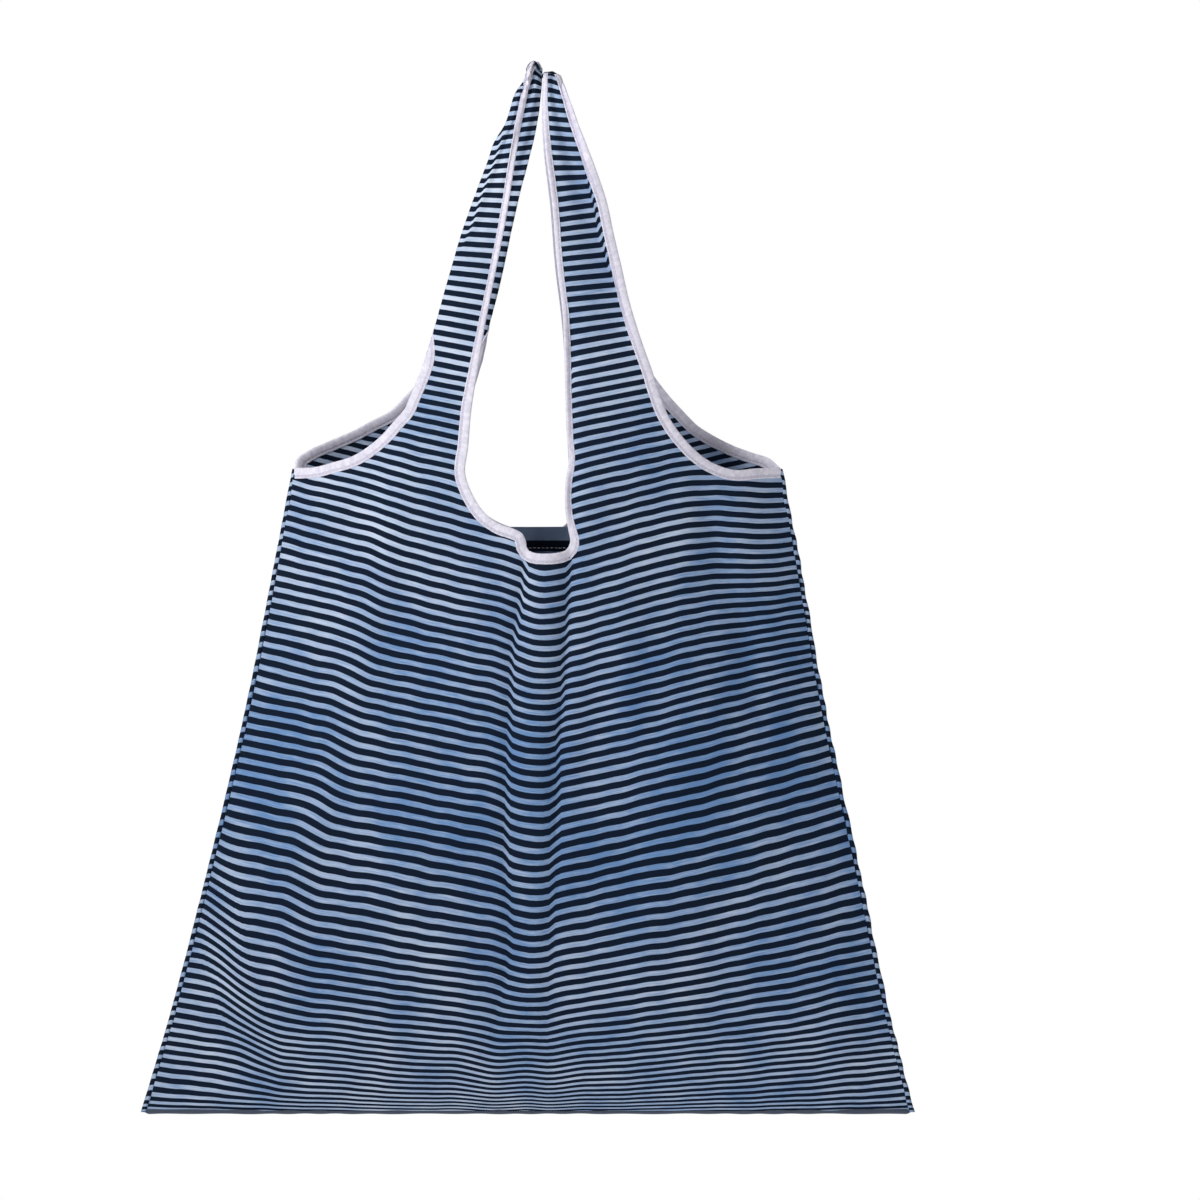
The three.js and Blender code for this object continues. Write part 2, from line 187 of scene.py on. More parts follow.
class Finish:
    """A material being written. Even values are set on the shader, and node() adds what varies."""

    def __init__(self, name, **even_values):
        self.material = bpy.data.materials.new(name)
        self.material.use_nodes = True
        self.tree = self.material.node_tree
        self.shader = self.tree.nodes["Principled BSDF"]
        for socket, value in even_values.items():
            self.shader.inputs[socket.replace("_", " ")].default_value = value

    def connect(self, value, socket):
        """Link an amount to a socket, or set a plain value on it."""
        if isinstance(value, Amount):
            self.tree.links.new(value.socket, socket)
        else:
            socket.default_value = value

    def node(self, kind, settings=None, sockets=None, output=0):
        """Add a node: its settings first, then its sockets by name or number."""
        node = self.tree.nodes.new("ShaderNode" + kind)
        for name, value in (settings or {}).items():
            setattr(node, name, value)
        for name, value in (sockets or {}).items():
            self.connect(value, node.inputs[name])
        return Amount(self, node.outputs[output])

    def cloth_place(self):
        """Metres along and across a piece of cloth, from its own flat map."""
        flat = {"Vector": self.node("UVMap", {"uv_map": "flat"})}
        return self.node("SeparateXYZ", {}, flat, X_AXIS), self.node("SeparateXYZ", {}, flat, Y_AXIS)

    def bag_place(self, axis):
        """Metres along an axis of the bag as it hangs."""
        spot = {"Vector": self.node("TexCoord", output=OBJECT_PLACE)}
        return self.node("SeparateXYZ", {}, spot, axis)

    def noise(self, u, v, detail=2.0, roughness=0.5):
        """Noise from 0 to 1 with cells one unit wide in u and v."""
        at = self.node("CombineXYZ", {}, {"X": u, "Y": v, "Z": 0.0})
        sockets = {"Vector": at, "Scale": 1.0, "Detail": detail, "Roughness": roughness}
        return self.node("TexNoise", {"noise_dimensions": "2D"}, sockets)

    def mix(self, factor, first, second):
        """A colour between two colours."""
        return self.node("Mix", {"data_type": "RGBA"}, {"Factor": factor, 6: first, 7: second}, 2)

    def colour(self, value):
        self.connect(value, self.shader.inputs["Base Color"])

    def relief(self, height, depth):
        """Raise the surface by `depth` metres times the height."""
        bump = self.node("Bump", {}, {"Height": height, "Distance": depth, "Strength": 1.0})
        self.connect(bump, self.shader.inputs["Normal"])


print("Amount and Finish are ready")

# %% [markdown]
# ## Light and floor
#
# The background has to be pure white without washing out the cloth. So the world looks white to the
# camera and lights the scene with much less. One large lamp stands high in front, a bit to the left:
# the straps catch more of it than the lower body, which also turns away from it. A weaker lamp fills
# the shadows, and a third lights the back. The floor is far below the bag, and only views from above
# see it.

# %% The stage
SKY_STRENGTH = 0.18
FLOOR_Z = cad_low.z - 0.27
FLOOR_SIDE = 7.6
FLOOR_GLOW = ((0.40, 0.40, 0.40, 1), (1, 1, 1, 1))
FLOOR_FADE = (1.1, 3.2)
LAMPS = {
    "key_lamp": {"place": (-0.70, -0.74, 0.42), "target": (0, 0, -0.25), "side": 0.5, "power": 11.0},
    "fill_lamp": {"place": (0.95, -1.45, 0.30), "target": (0, 0, -0.35), "side": 0.9, "power": 3.2},
    "back_lamp": {"place": (0.5, 1.5, 0.6), "target": (0, 0, -0.3), "side": 1.0, "power": 12.0},
}


def make_world():
    """White where the camera looks straight at it, and a dim even light everywhere else."""
    world = bpy.data.worlds.new("studio")
    bpy.context.scene.world = world
    world.use_nodes = True
    nodes, links = world.node_tree.nodes, world.node_tree.links
    lamp = nodes["Background"]
    path = nodes.new("ShaderNodeLightPath")
    strength = nodes.new("ShaderNodeMapRange")
    strength.inputs["To Min"].default_value = SKY_STRENGTH
    strength.inputs["To Max"].default_value = 1.0
    links.new(path.outputs["Is Camera Ray"], strength.inputs["Value"])
    links.new(strength.outputs["Result"], lamp.inputs["Strength"])
    lamp.inputs["Color"].default_value = (1, 1, 1, 1)


def make_lamp(name, place, target, side, power):
    """A square lamp at a place, turned to face a target."""
    data = bpy.data.lights.new(name, "AREA")
    data.shape = "SQUARE"
    data.size, data.energy = side, power
    lamp = bpy.data.objects.new(name, data)
    lamp.location = place
    lamp.visible_camera = False
    lamp.rotation_euler = (Vector(target) - Vector(place)).to_track_quat("-Z", "Y").to_euler()
    bpy.context.scene.collection.objects.link(lamp)


def floor_finish():
    """Pale, with a glow that grows away from the bag until the floor is as white as the background."""
    finish = Finish("pale_floor", Base_Color=(0.8, 0.8, 0.8, 1), Roughness=0.9, Emission_Strength=1.0)
    place_on_floor = finish.node("TexCoord", output=OBJECT_PLACE)
    distance = finish.node("VectorMath", {"operation": "LENGTH"}, {0: place_on_floor}, 1)
    settings = {"interpolation_type": "SMOOTHSTEP"}
    near, far = FLOOR_FADE
    fade = finish.node("MapRange", settings, {"Value": distance, "From Min": near, "From Max": far})
    finish.connect(finish.mix(fade, *FLOOR_GLOW), finish.shader.inputs["Emission Color"])
    return finish.material


def make_floor():
    """A pale square far below the bag."""
    half = FLOOR_SIDE / 2
    corners = [(x * half, y * half, FLOOR_Z) for x, y in ((-1, -1), (1, -1), (1, 1), (-1, 1))]
    mesh = bpy.data.meshes.new("floor")
    mesh.from_pydata(corners, [], [(0, 1, 2, 3)])
    mesh.materials.append(floor_finish())
    floor = bpy.data.objects.new("floor", mesh)
    bpy.context.scene.collection.objects.link(floor)
    floor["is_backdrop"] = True


make_world()
for lamp_name, lamp_facts in LAMPS.items():
    make_lamp(lamp_name, **lamp_facts)
make_floor()
bpy.context.scene.view_settings.view_transform = "Standard"
print("stage: world,", len(LAMPS), "lamps, floor at", round(FLOOR_Z, 3))

# %% [markdown]
# ## The striped cloth
#
# The cloth is a plain weave with the stripes woven in. On a real loom the stripe is a number of
# yarns of one colour, so its edge is crisp, but each yarn is a little thicker or paler than the next.
# The stripe is drawn from the cloth's own flat map, in metres, so it bends with every fold. A second
# map in space would slide over the folds instead.

# %% Striped cloth
STRIPE_PERIOD = 0.0066
NAVY_SHARE = 0.56
YARN = 0.00042
SKY_BLUE = (0.145, 0.275, 0.525, 1)
PALE_BLUE = (0.58, 0.66, 0.80, 1)
NAVY = (0.0038, 0.0095, 0.023, 1)
WORN_NAVY = (0.012, 0.021, 0.044, 1)
EDGE_BLUR = 0.022
# Painted light towards the handles, and painted shade over the right half, most near the top.
TOP_LIGHT_HEIGHTS = (-0.42, -0.20)
UPPER_SHADE_HEIGHTS = (-0.30, -0.12)
# Paler towards the bottom.
PALER_BOTTOM_HEIGHTS = (cad_low.z + 0.19, cad_low.z + 0.03)
RIGHT_SHADE_PLACES = (-0.02, 0.05)
WEAVE_DEPTH = 0.00009


def woven(u, v):
    """Crossing yarns: the product of a wave along the cloth and one across it."""
    return u.wave(2 * YARN) * v.wave(2 * YARN)


def striped_finish(name, sky=SKY_BLUE, pale=PALE_BLUE):
    """Navy where |fraction of (v / period) - 0.5| is under half the navy share, and blue elsewhere.
    The blue is paler towards the handles, painted light from the lamp above, paler along the bottom,
    and paler in soft patches. The right half is darker, most near the top: painted shade."""
    cloth = Finish(name, Roughness=0.85, Specular_IOR_Level=0.04)
    u, v = cloth.cloth_place()
    yarn_noise = cloth.noise(u * 60, v * (1 / YARN), 2.0, 0.6)
    patch_noise = cloth.noise(u * 17 + v * 6, v * 13 - u * 6, 4.0, 0.62)
    # Painted light and shade by place on the bag: paler high up, darker over the right half.
    height = cloth.bag_place(Z_AXIS)
    painted_top_light, upper_shade, paler_bottom = (height.rise(*ends) for ends in (TOP_LIGHT_HEIGHTS, UPPER_SHADE_HEIGHTS, PALER_BOTTOM_HEIGHTS))
    right = cloth.bag_place(X_AXIS).rise(*RIGHT_SHADE_PLACES)
    wobble = cloth.noise(u * 160, v * 160, 1.0) * 0.030
    place = (v / STRIPE_PERIOD + wobble).fract()
    navy = (place - 0.5).size().within(NAVY_SHARE / 2 - EDGE_BLUR, NAVY_SHARE / 2 + EDGE_BLUR)
    painted_light_shade_and_pale_bottom = painted_top_light * 0.55 + paler_bottom * 0.30 - right * (upper_shade * 0.30 + 0.10)
    tone = (yarn_noise - 0.5) * 1.2 + (patch_noise - 0.5) * 1.5 + 0.24 + painted_light_shade_and_pale_bottom
    blue = cloth.mix(tone, sky, pale)
    dark = cloth.mix(yarn_noise * 0.75, NAVY, WORN_NAVY)
    cloth.colour(cloth.mix(navy, blue, dark))
    slack = cloth.noise(u * 210, v * 260, 2.0)
    cloth.relief(woven(u, v) * 0.35 + yarn_noise * 0.5 + slack * 1.6, WEAVE_DEPTH)
    return cloth.material


STRIPED = striped_finish("striped_cloth")
print("striped cloth:", round(STRIPE_PERIOD * 1000, 1), "mm stripes")

# %% [markdown]
# ## Tape, ribbon and thread
#
# The edges are bound with folded white tape, held by one row of machine stitches. The loop is a
# ribbed black ribbon. The seams inside and along the bottom are overlocked: a thread wraps the raw
# edge in slanting turns. Each finish is worked out from the piece's own flat map, and each has a
# relief of its own, a fraction of a millimetre deep.

# %% Tape, ribbon and thread
TAPE_WIDTH = 7.0
TAPE_ACROSS = np.array([0.0, 0.03, 0.12, 0.26, 0.45, 0.63, 0.72, 0.77, 0.83, 0.93, 0.99])
STITCH_ROW = 7
TAPE_WHITE = (0.84, 0.81, 0.90, 1)
TAPE_SHADE = (0.56, 0.54, 0.67, 1)


def tape_finish():
    """Off-white with a fine diagonal grain, and painted shade over its crumples and along its stitch row.
    """
    tape = Finish("binding_tape", Roughness=0.8, Specular_IOR_Level=0.15)
    u, v = tape.cloth_place()
    grain = tape.noise((u + v) * 1500, (u - v) * 2600, 2.0)
    crumple = tape.noise(u * 330, v * 200, 2.0, 0.6)
    # Painted shade: the stitch row and the crumples are mixed towards the tape's shaded lavender.
    sewn = (v - TAPE_WIDTH * TAPE_ACROSS[STITCH_ROW] * MM).size().within(0.0002, 0.0011)
    tape.colour(tape.mix((crumple - 0.5) * 1.3 + grain * 0.5 + sewn * 0.9 + 0.1, TAPE_WHITE, TAPE_SHADE))
    tape.relief(grain * 0.25 + crumple * 2.2, 0.00012)
    return tape.material


def thread_finish(name, colour, shade):
    """Twisted sewing thread: slanting plies along each stitch."""
    thread = Finish(name, Roughness=0.6, Specular_IOR_Level=0.3, Sheen_Weight=0.1)
    u, v = thread.cloth_place()
    ply = (u + v * 0.6).wave(0.0005) * 0.5 + 0.5
    thread.colour(thread.mix(ply, shade, colour))
    thread.relief(ply, 0.00005)
    return thread.material


def overlock_finish():
    """A dark raw edge wrapped by slanting turns of grey-blue thread, 1.6 mm apart."""
    edge = Finish("overlocked_edge", Roughness=0.8, Specular_IOR_Level=0.15)
    u, v = edge.cloth_place()
    turn = ((u + v * 0.45) / 0.0016).fract()
    thread = (turn - 0.5).size().within(0.18, 0.34)
    fuzz = edge.noise(u * 1400, v * 900, 2.0)
    edge.colour(edge.mix(thread * (fuzz * 0.6 + 0.5), (0.012, 0.018, 0.035, 1), (0.17, 0.21, 0.28, 1)))
    edge.relief(thread + fuzz * 0.3, 0.00025)
    return edge.material


def ribbon_finish():
    """Black grosgrain: ribs across the ribbon, 0.9 mm apart, and a plain selvedge on each side."""
    ribbon = Finish("black_ribbon", Roughness=0.62, Specular_IOR_Level=0.3, Sheen_Weight=0.25)
    u, v = ribbon.cloth_place()
    rib = v.wave(0.0009) * 0.5 + 0.5
    lint = ribbon.noise(u * 2400, v * 1500, 2.0)
    ribbon.colour(ribbon.mix(rib * 0.6 + lint * 0.5, (0.006, 0.006, 0.007, 1), (0.022, 0.022, 0.025, 1)))
    ribbon.relief(rib + lint * 0.3, 0.00016)
    return ribbon.material


TAPE = tape_finish()
WHITE_THREAD = thread_finish("white_thread", (0.86, 0.85, 0.90, 1), (0.60, 0.58, 0.66, 1))
OVERLOCK = overlock_finish()
RIBBON = ribbon_finish()
print("tape, thread, overlock and ribbon")

# %% [markdown]
# ## Curves through a few points
#
# Every outline of the bag is a short list of places, joined smoothly. The lists are in millimetres,
# as a pattern cutter would write them, and a mesh is turned into metres only when it is made.

# %% Curves


def follow(stations, at):
    """A smooth curve through [position, value] stations: cubic steps with the neighbours' slopes."""
    position, value = np.array(sorted(stations), float).T
    slope = np.gradient(value, position)
    at = np.clip(at, position[0], position[-1])
    k = np.clip(np.searchsorted(position, at) - 1, 0, len(position) - 2)
    span = position[k + 1] - position[k]
    t = (at - position[k]) / span
    rise = t * t * (3 - 2 * t)
    leave = t * (1 - t) ** 2 * span * slope[k]
    arrive = -t * t * (1 - t) * span * slope[k + 1]
    return value[k] + (value[k + 1] - value[k]) * rise + leave + arrive


def ramp(at, start, end):
    """0 before start, 1 after end, and a smooth step between."""
    t = np.clip((np.asarray(at, float) - start) / (end - start), 0, 1)
    return t * t * (3 - 2 * t)


def length_along(points):
    """The length of a flat line up to each of its points: the sum of the distances between them."""
    return np.concatenate([[0], np.cumsum(np.hypot(*np.diff(points[:, :2], axis=0).T))])


def spaced_path(points, step):
    """A smooth line through points, with new points about `step` apart. Columns past two ride along."""
    points = np.array(points, float)
    chord = length_along(points)
    fine = np.linspace(0, chord[-1], 40 * len(points))
    line = np.stack([follow(list(zip(chord, column)), fine) for column in points.T], axis=1)
    along = length_along(line)
    at = np.linspace(0, along[-1], max(2, round(along[-1] / step) + 1))
    return np.stack([np.interp(at, along, column) for column in line.T], axis=1)


print("follow, ramp, length_along and spaced_path")

# %% [markdown]
# ## The shape of the bag
#
# Hung from its handles and a little open, the bag is a soft lens in plan: deepest along the middle,
# closed at the side seams. The depth follows the same stations as the engineering model. On top of
# that smooth shape lie the folds: a middle ridge under the front neck between two sharp valleys, a
# long fold from each armhole towards the bottom corners, small puckers along the seams, and a quiet
# ripple all over.

# %% Body shape
STRAP_FOOT = -200.0
ARMHOLE_FOOT = -262.0
FOLD_MERGE = -335.0
BOTTOM = -681.0
DEPTH = [
    [-681, 2.6], [-677, 6.6], [-670, 10.5], [-660, 14.5], [-640, 20.5], [-620, 26], [-560, 40], [-480, 53],
    [-400, 59], [-330, 59], [-262, 53], [-200, 44], [-120, 31.5], [-60, 22], [-14.5, 15.4], [-7.5, 14.4],
]
LEFT_OUTLINE = [[-682, -258], [-622, -240], [-530, -216], [-411, -188], [-330, -172], [-262, -159]]
RIGHT_OUTLINE = [[-682, 242.5], [-621, 227], [-530, 208], [-411, 183], [-330, 169], [-262, 156]]
SEAM_GAP = 2.0
FULLNESS = 2.2


def outline(z):
    """Where the body's left and right edges are at a height."""
    return follow(LEFT_OUTLINE, z), follow(RIGHT_OUTLINE, z)


def half_depth(x, z):
    """Half the bag's depth: its depth on the middle line, times one minus a power of the way across."""
    left, right = outline(z)
    across = np.minimum(np.abs((2 * x - left - right) / (right - left)), 1)
    return SEAM_GAP + (follow(DEPTH, z) - SEAM_GAP) * (1 - across**FULLNESS)


# A fold: its line as [height, x], its rise outwards as [height, mm] and its half width. Where the stripes
# step down across it, how far as [height, mm], over a width of its own. A crease has a sharp step as well.
FRONT_FOLDS = {
    "left_valley": {
        "line": [[-656, -37], [-570, -19], [-517, -21], [-448, -20], [-415, -18], [-375, -16],
                 [-352, -12], [-313, -8]],
        "rise": [[-665, 0], [-620, -1.8], [-500, -3.6], [-322, -4.6], [-300, -4.6]], "width": 3.2,
        "step": [[-668, 0], [-640, 2], [-600, 3.2], [-430, 4], [-330, 4.5], [-300, 4]], "step_width": 15,
        "sharp": [[-640, 0], [-560, 2], [-430, 3.6], [-330, 4.6], [-300, 4]], "sharp_width": 2.6,
    },
    "right_valley": {
        "line": [[-641, 7], [-570, 8], [-521, 10], [-475, 11], [-442, 12], [-409, 15], [-356, 18],
                 [-322, 20]],
        "rise": [[-660, 0], [-610, -2.4], [-500, -4.6], [-322, -5.0], [-300, -4.2]], "width": 3,
        "step": [[-660, 0], [-610, -1], [-330, -1], [-300, -1]], "step_width": 7,
        "sharp": [[-640, 0], [-570, -1.6], [-330, -3.2], [-300, -3.2]], "sharp_width": 1.6,
    },
    "middle_ridge": {
        "line": [[-656, -14], [-570, -5], [-500, -5], [-415, -1], [-352, 3], [-313, 6]],
        "rise": [[-668, 0], [-620, 1.6], [-500, 3.8], [-340, 5.0], [-300, 5.0]], "width": 12,
    },
    "left_shoulder_fold": {
        "line": [[-582, -162], [-537, -155], [-439, -129], [-329, -103], [-283, -92], [-233, -81]],
        "rise": [[-640, 0], [-560, 2.0], [-440, 3.6], [-300, 3.6], [-225, 1.2], [-205, 0]], "width": 9,
        "step": [[-650, 0], [-570, 3.6], [-440, 4.4], [-300, 2.7], [-225, 0], [-205, 0]], "step_width": 14,
    },
    "left_corner_fold": {
        "line": [[-640, -182], [-602, -197], [-530, -213]],
        "rise": [[-672, 0], [-634, 4.0], [-600, 5.0], [-530, 3.0], [-470, 0]], "width": 12,
        "step": [[-680, 0], [-660, 7], [-625, 17], [-590, 17], [-540, 11], [-470, 2],
                 [-430, 0]], "step_width": 18,
    },
    "right_shoulder_fold": {
        "line": [[-600, 72], [-543, 78], [-413, 104], [-283, 143]],
        "rise": [[-650, 0], [-560, 2.6], [-413, 2.8], [-300, 1.6], [-262, 0]], "width": 14,
        "step": [[-650, 0], [-560, 1.5], [-400, 0], [-262, 0]], "step_width": 16,
    },
    "right_corner_fold": {
        "line": [[-660, 188], [-560, 176]],
        "rise": [[-672, 0], [-630, 2.4], [-560, 1.6], [-480, 0]], "width": 16,
        "step": [[-676, 0], [-630, -1.5], [-560, -1], [-480, 0]], "step_width": 22,
    },
    "left_armhole_hollow": {
        "line": [[-400, -156], [-330, -134], [-262, -112]],
        "rise": [[-420, 0], [-340, -3.0], [-280, -3.2], [-240, 0]], "width": 6,
    },
    "right_armhole_hollow": {
        "line": [[-460, 148], [-350, 126], [-262, 100]],
        "rise": [[-480, 0], [-380, -2.8], [-290, -3.2], [-245, 0]], "width": 7,
    },
    "right_slack": {
        "line": [[-520, 70], [-420, 60], [-330, 48]],
        "rise": [[-540, 0], [-450, 2.6], [-360, 2.4], [-310, 0]], "width": 9,
    },
    "middle_hollow": {
        "line": [[-650, 40], [-540, 44], [-400, 46], [-300, 52]],
        "rise": [[-660, 0], [-560, -2.6], [-420, -3.0], [-300, -1.0], [-262, 0]], "width": 17,
    },
}
BACK_FOLDS = {
    "left_long_fold": {
        "line": [[-640, -128], [-500, -112], [-300, -104]],
        "rise": [[-660, 0], [-560, 3.2], [-460, 2.2], [-350, 0.6], [-280, 0]], "width": 14,
        "step": [[-660, 0], [-560, 3], [-400, 1], [-280, 0]], "step_width": 16,
    },
    "right_long_fold": {
        "line": [[-640, 96], [-480, 100], [-300, 112]],
        "rise": [[-660, 0], [-560, 3.4], [-460, 2.8], [-350, 0.8], [-280, 0]], "width": 13,
        "step": [[-660, 0], [-560, -3], [-400, -1], [-280, 0]], "step_width": 16,
    },
    "under_pouch_fold": {
        "line": [[-660, 4], [-440, -10]],
        "rise": [[-668, 0], [-600, 3.0], [-500, 2.6], [-445, 0]], "width": 16,
        "step": [[-668, 0], [-560, 2], [-440, 0]], "step_width": 18,
    },
    "back_corner_fold": {
        "line": [[-650, -196], [-540, -186]],
        "rise": [[-672, 0], [-620, 3.2], [-560, 2.2], [-470, 0]], "width": 13,
        "step": [[-676, 0], [-620, 7], [-540, 3], [-460, 0]], "step_width": 16,
    },
}
FOLDS = {-1: FRONT_FOLDS, 1: BACK_FOLDS}
print("folds:", len(FRONT_FOLDS), "in front,", len(BACK_FOLDS), "behind")

# %% [markdown]
# The quiet ripple is a sum of slow sine waves in slanting directions. It is seeded, so every run
# gives the same cloth. Puckers are quick waves that die away a few millimetres from a seam.

# %% Ripples and puckers
RIPPLES = np.random.default_rng(7)
RIPPLE_COUNT = 14
EDGE_EASE = 22.0
RIPPLE_TURNS = RIPPLES.uniform(0, 2 * np.pi, RIPPLE_COUNT)
RIPPLE_LENGTHS = RIPPLES.uniform(28, 120, RIPPLE_COUNT)
RIPPLE_STARTS = RIPPLES.uniform(0, 2 * np.pi, RIPPLE_COUNT)


def ripple(side, x, z, finer=1.0):
    """The mean of slow sine waves that run in many directions, from -1 to 1 or so."""
    total = np.zeros(np.broadcast(x, z).shape)
    for turn, length, start in zip(RIPPLE_TURNS, RIPPLE_LENGTHS, RIPPLE_STARTS):
        along = x * math.cos(turn) + 0.45 * z * math.sin(turn)
        total = total + np.sin(2 * np.pi * along * finer / length + start * (1 + 0.5 * side))
    return total / math.sqrt(RIPPLE_COUNT)


def puckers(x, z):
    """Small gathers: along the side seams, along the bottom, and along the neck of the bag."""
    left, right = outline(z)
    from_side = np.minimum(x - left, right - x)
    side_wave = np.sin(z / 2.9 + 1.7 * np.sin(z / 17)) + 0.6 * np.sin(z / 6.1)
    side = 0.75 * np.exp(-np.maximum(from_side, 0) / 6.5) * side_wave * (z < ARMHOLE_FOOT)
    bottom_wave = np.sin(x / 4.3 + 1.9 * np.sin(x / 23)) + 0.7 * np.sin(x / 9.7 + 0.8)
    middle = 0.6 + 1.1 * np.exp(-(((x + 20) / 48) ** 2))
    bottom = 0.75 * middle * np.exp(-np.maximum(z - BOTTOM, 0) / 11) * bottom_wave
    return side + bottom


def relief(side, x, z):
    """How far the cloth stands out from the smooth body, in millimetres."""
    total = 1.15 * ripple(side, x, z) * ramp(z, STRAP_FOOT, -300) * ramp(z, -681, -650)
    for fold in FOLDS[side].values():
        away = x - follow(fold["line"], z)
        rise = follow(fold["rise"], z)
        total = total + rise * np.exp(1 - np.sqrt(1 + (away / fold["width"]) ** 2))
    left, right = outline(z)
    edge = ramp(np.minimum(x - left, right - x), 0, EDGE_EASE)
    return total * np.where(z < ARMHOLE_FOOT, edge, 1.0) + puckers(x, z)


print("ripples:", RIPPLE_COUNT)

# %% [markdown]
# ## Straps
#
# Four straps rise from the body, and each pair turns over the hook and meets in a seam. They are the
# same cloth as the panels, so one function places a point of the flat cloth anywhere on the bag. Two
# strap edges roll over: the front left strap's outer edge turns under, and the back left strap's
# inner edge turns out. A roll is a hyperbola: far from the roll the cloth is flat, and at the roll
# it turns round a small radius.

# %% Strap shape
CROWN_RADIUS = 9.0
CROWN_BEND = {-1: -7.5, 1: -14.5}
CROWN_TURN = CROWN_RADIUS * math.pi / 2
# The cloth is bunched on the hook: where along x each crown is highest, and how fast it falls away.
CROWN_PEAK = {-1: {"x": -4.0, "fall": 1.35, "round": 1.4}, 1: {"x": 6.6, "fall": 0.55, "round": 3.5}}


def crown_fall(hand, x):
    """How far a crown lies below its highest point: straight slopes from a rounded top."""
    peak = CROWN_PEAK[hand]
    away = np.sqrt((x - peak["x"]) ** 2 + peak["round"] ** 2) - peak["round"]
    return np.minimum(peak["fall"] * away, 7.0)


# Height against x of each strap's edges, tape included, by side (-1 front) and hand (-1 left).
OUTER_EDGE = {
    (-1, -1): [[-200, -77], [-190, -73], [-172, -68], [-138, -58.5], [-117, -52.5], [-101, -47.3],
               [-84.7, -41.5], [-63, -33.4], [-49, -28.4], [-42, -23.8], [-18, -15.5], [-7, -10.5],
               [7, -7.5]],
    (1, -1): [[-200, -77], [-190, -73], [-172, -67], [-138, -57], [-101, -45], [-72, -34.5], [-42, -21.5],
              [-18, -14], [-7, -9.5], [7, -7]],
    (-1, 1): [[-200, 73.3], [-178, 65.5], [-155, 58.5], [-131, 53], [-112, 48.5], [-89, 43.5], [-68, 36.5],
              [-51, 30], [-32, 22.5], [-16, 17.5], [0, 13]],
    (1, 1): [[-200, 73.3], [-178, 64.5], [-155, 57], [-131, 51], [-112, 46.5], [-89, 41.5], [-68, 34.5],
             [-51, 28.5], [-32, 21], [-16, 16.5], [0, 12.5]],
}
INNER_EDGE = {
    (-1, -1): [[-200, -40], [-168, -34.7], [-154, -32], [-128, -26.8], [-100, -21.5], [-66, -16.3],
               [-44, -12.7], [-26, -9.2], [-8, -6], [7, -3]],
    (1, -1): [[-200, -40], [-168, -33], [-157, -30], [-91, -15], [-25, 0], [-8, 1.3], [7, 1.5]],
    (-1, 1): [[-200, 16.7], [-179, 16], [-166, 15.3], [-131, 11.3], [-89, 8], [-56, 4], [-26, 2.3],
              [0, 2.6]],
    (1, 1): [[-200, 16.7], [-179, 15.4], [-166, 14.3], [-131, 10], [-89, 6.6], [-56, 2.7], [-26, 1.6],
             [0, 2.6]],
}
# A rolled edge: which edge, which side of it the cloth is on, how much is turned over, round what
# radius, and towards the front (-1) or the back (1) of the strap.
ROLLS = {
    (-1, -1): {"edge": OUTER_EDGE[-1, -1], "cloth": 1, "turned": 12.0, "radius": 1.5, "towards": -1},
    (1, -1): {"edge": INNER_EDGE[1, -1], "cloth": -1, "turned": 8.0, "radius": 1.2, "towards": 1},
}
# Creases that run up a strap: their line as [height, x], depth, and the step in the stripes.
STRAP_CREASES = {
    (-1, -1): {"line": [[-124, -52], [-106, -43.8], [-84.7, -36.8], [-63, -28.6], [-49, -24.5],
                        [-40, -23.5],
                        [-20, -17]], "from": -125, "step": 3.3, "hollow": 0.0},
    (-1, 1): {"line": [[-195, 62], [-149, 51], [-122.5, 42.5], [-79, 32.5], [-26, 19], [-8, 13]],
              "from": -152, "step": -3.2, "hollow": 7.5},
    (1, -1): {"line": [[-130, -48], [-8, -6]], "from": -140, "step": 2.4, "hollow": 0.0},
    (1, 1): {"line": [[-140, 40], [-8, 9]], "from": -150, "step": -2.4, "hollow": 2.0},
}


def roll_amount(h):
    """How much of a rolled edge is turned over at a height: none at the foot, all of it 50 mm up."""
    return ramp(h, STRAP_FOOT, STRAP_FOOT + 50)


def strap_relief(side, hand, x, h):
    """Creases and gathers of a strap: a step or a hollow at its crease, and pleats near the hook."""
    crease = STRAP_CREASES[side, hand]
    away = (x - follow(crease["line"], h)) * hand
    depth = ramp(h, crease["from"], crease["from"] + 30)
    hollow = crease["hollow"] * np.exp(-((away / 17) ** 2)) * (1 - ramp(away, -0.6, 1.8))
    hollow = hollow * ramp(h, -196, -140) * (1 - 0.6 * ramp(h, -70, -20))
    step = 1.7 * depth * (0.5 - ramp(away, -0.8, 1.6)) * (crease["hollow"] == 0) - hollow
    width = np.abs(follow(OUTER_EDGE[side, hand], h) - follow(INNER_EDGE[side, hand], h))
    across = np.abs(x - follow(INNER_EDGE[side, hand], h)) / np.maximum(width, 1)
    pleats = 0.9 * ramp(h, -150, -30) * np.sin(2 * np.pi * (2.3 * across + 0.004 * h + 0.2 * side))
    slow = 1.1 * np.sin(h / 21 + 2.2 * hand + side) * np.sin(np.pi * np.clip(across, 0, 1))
    return (step + pleats + slow) * ramp(h, STRAP_FOOT, STRAP_FOOT + 22)


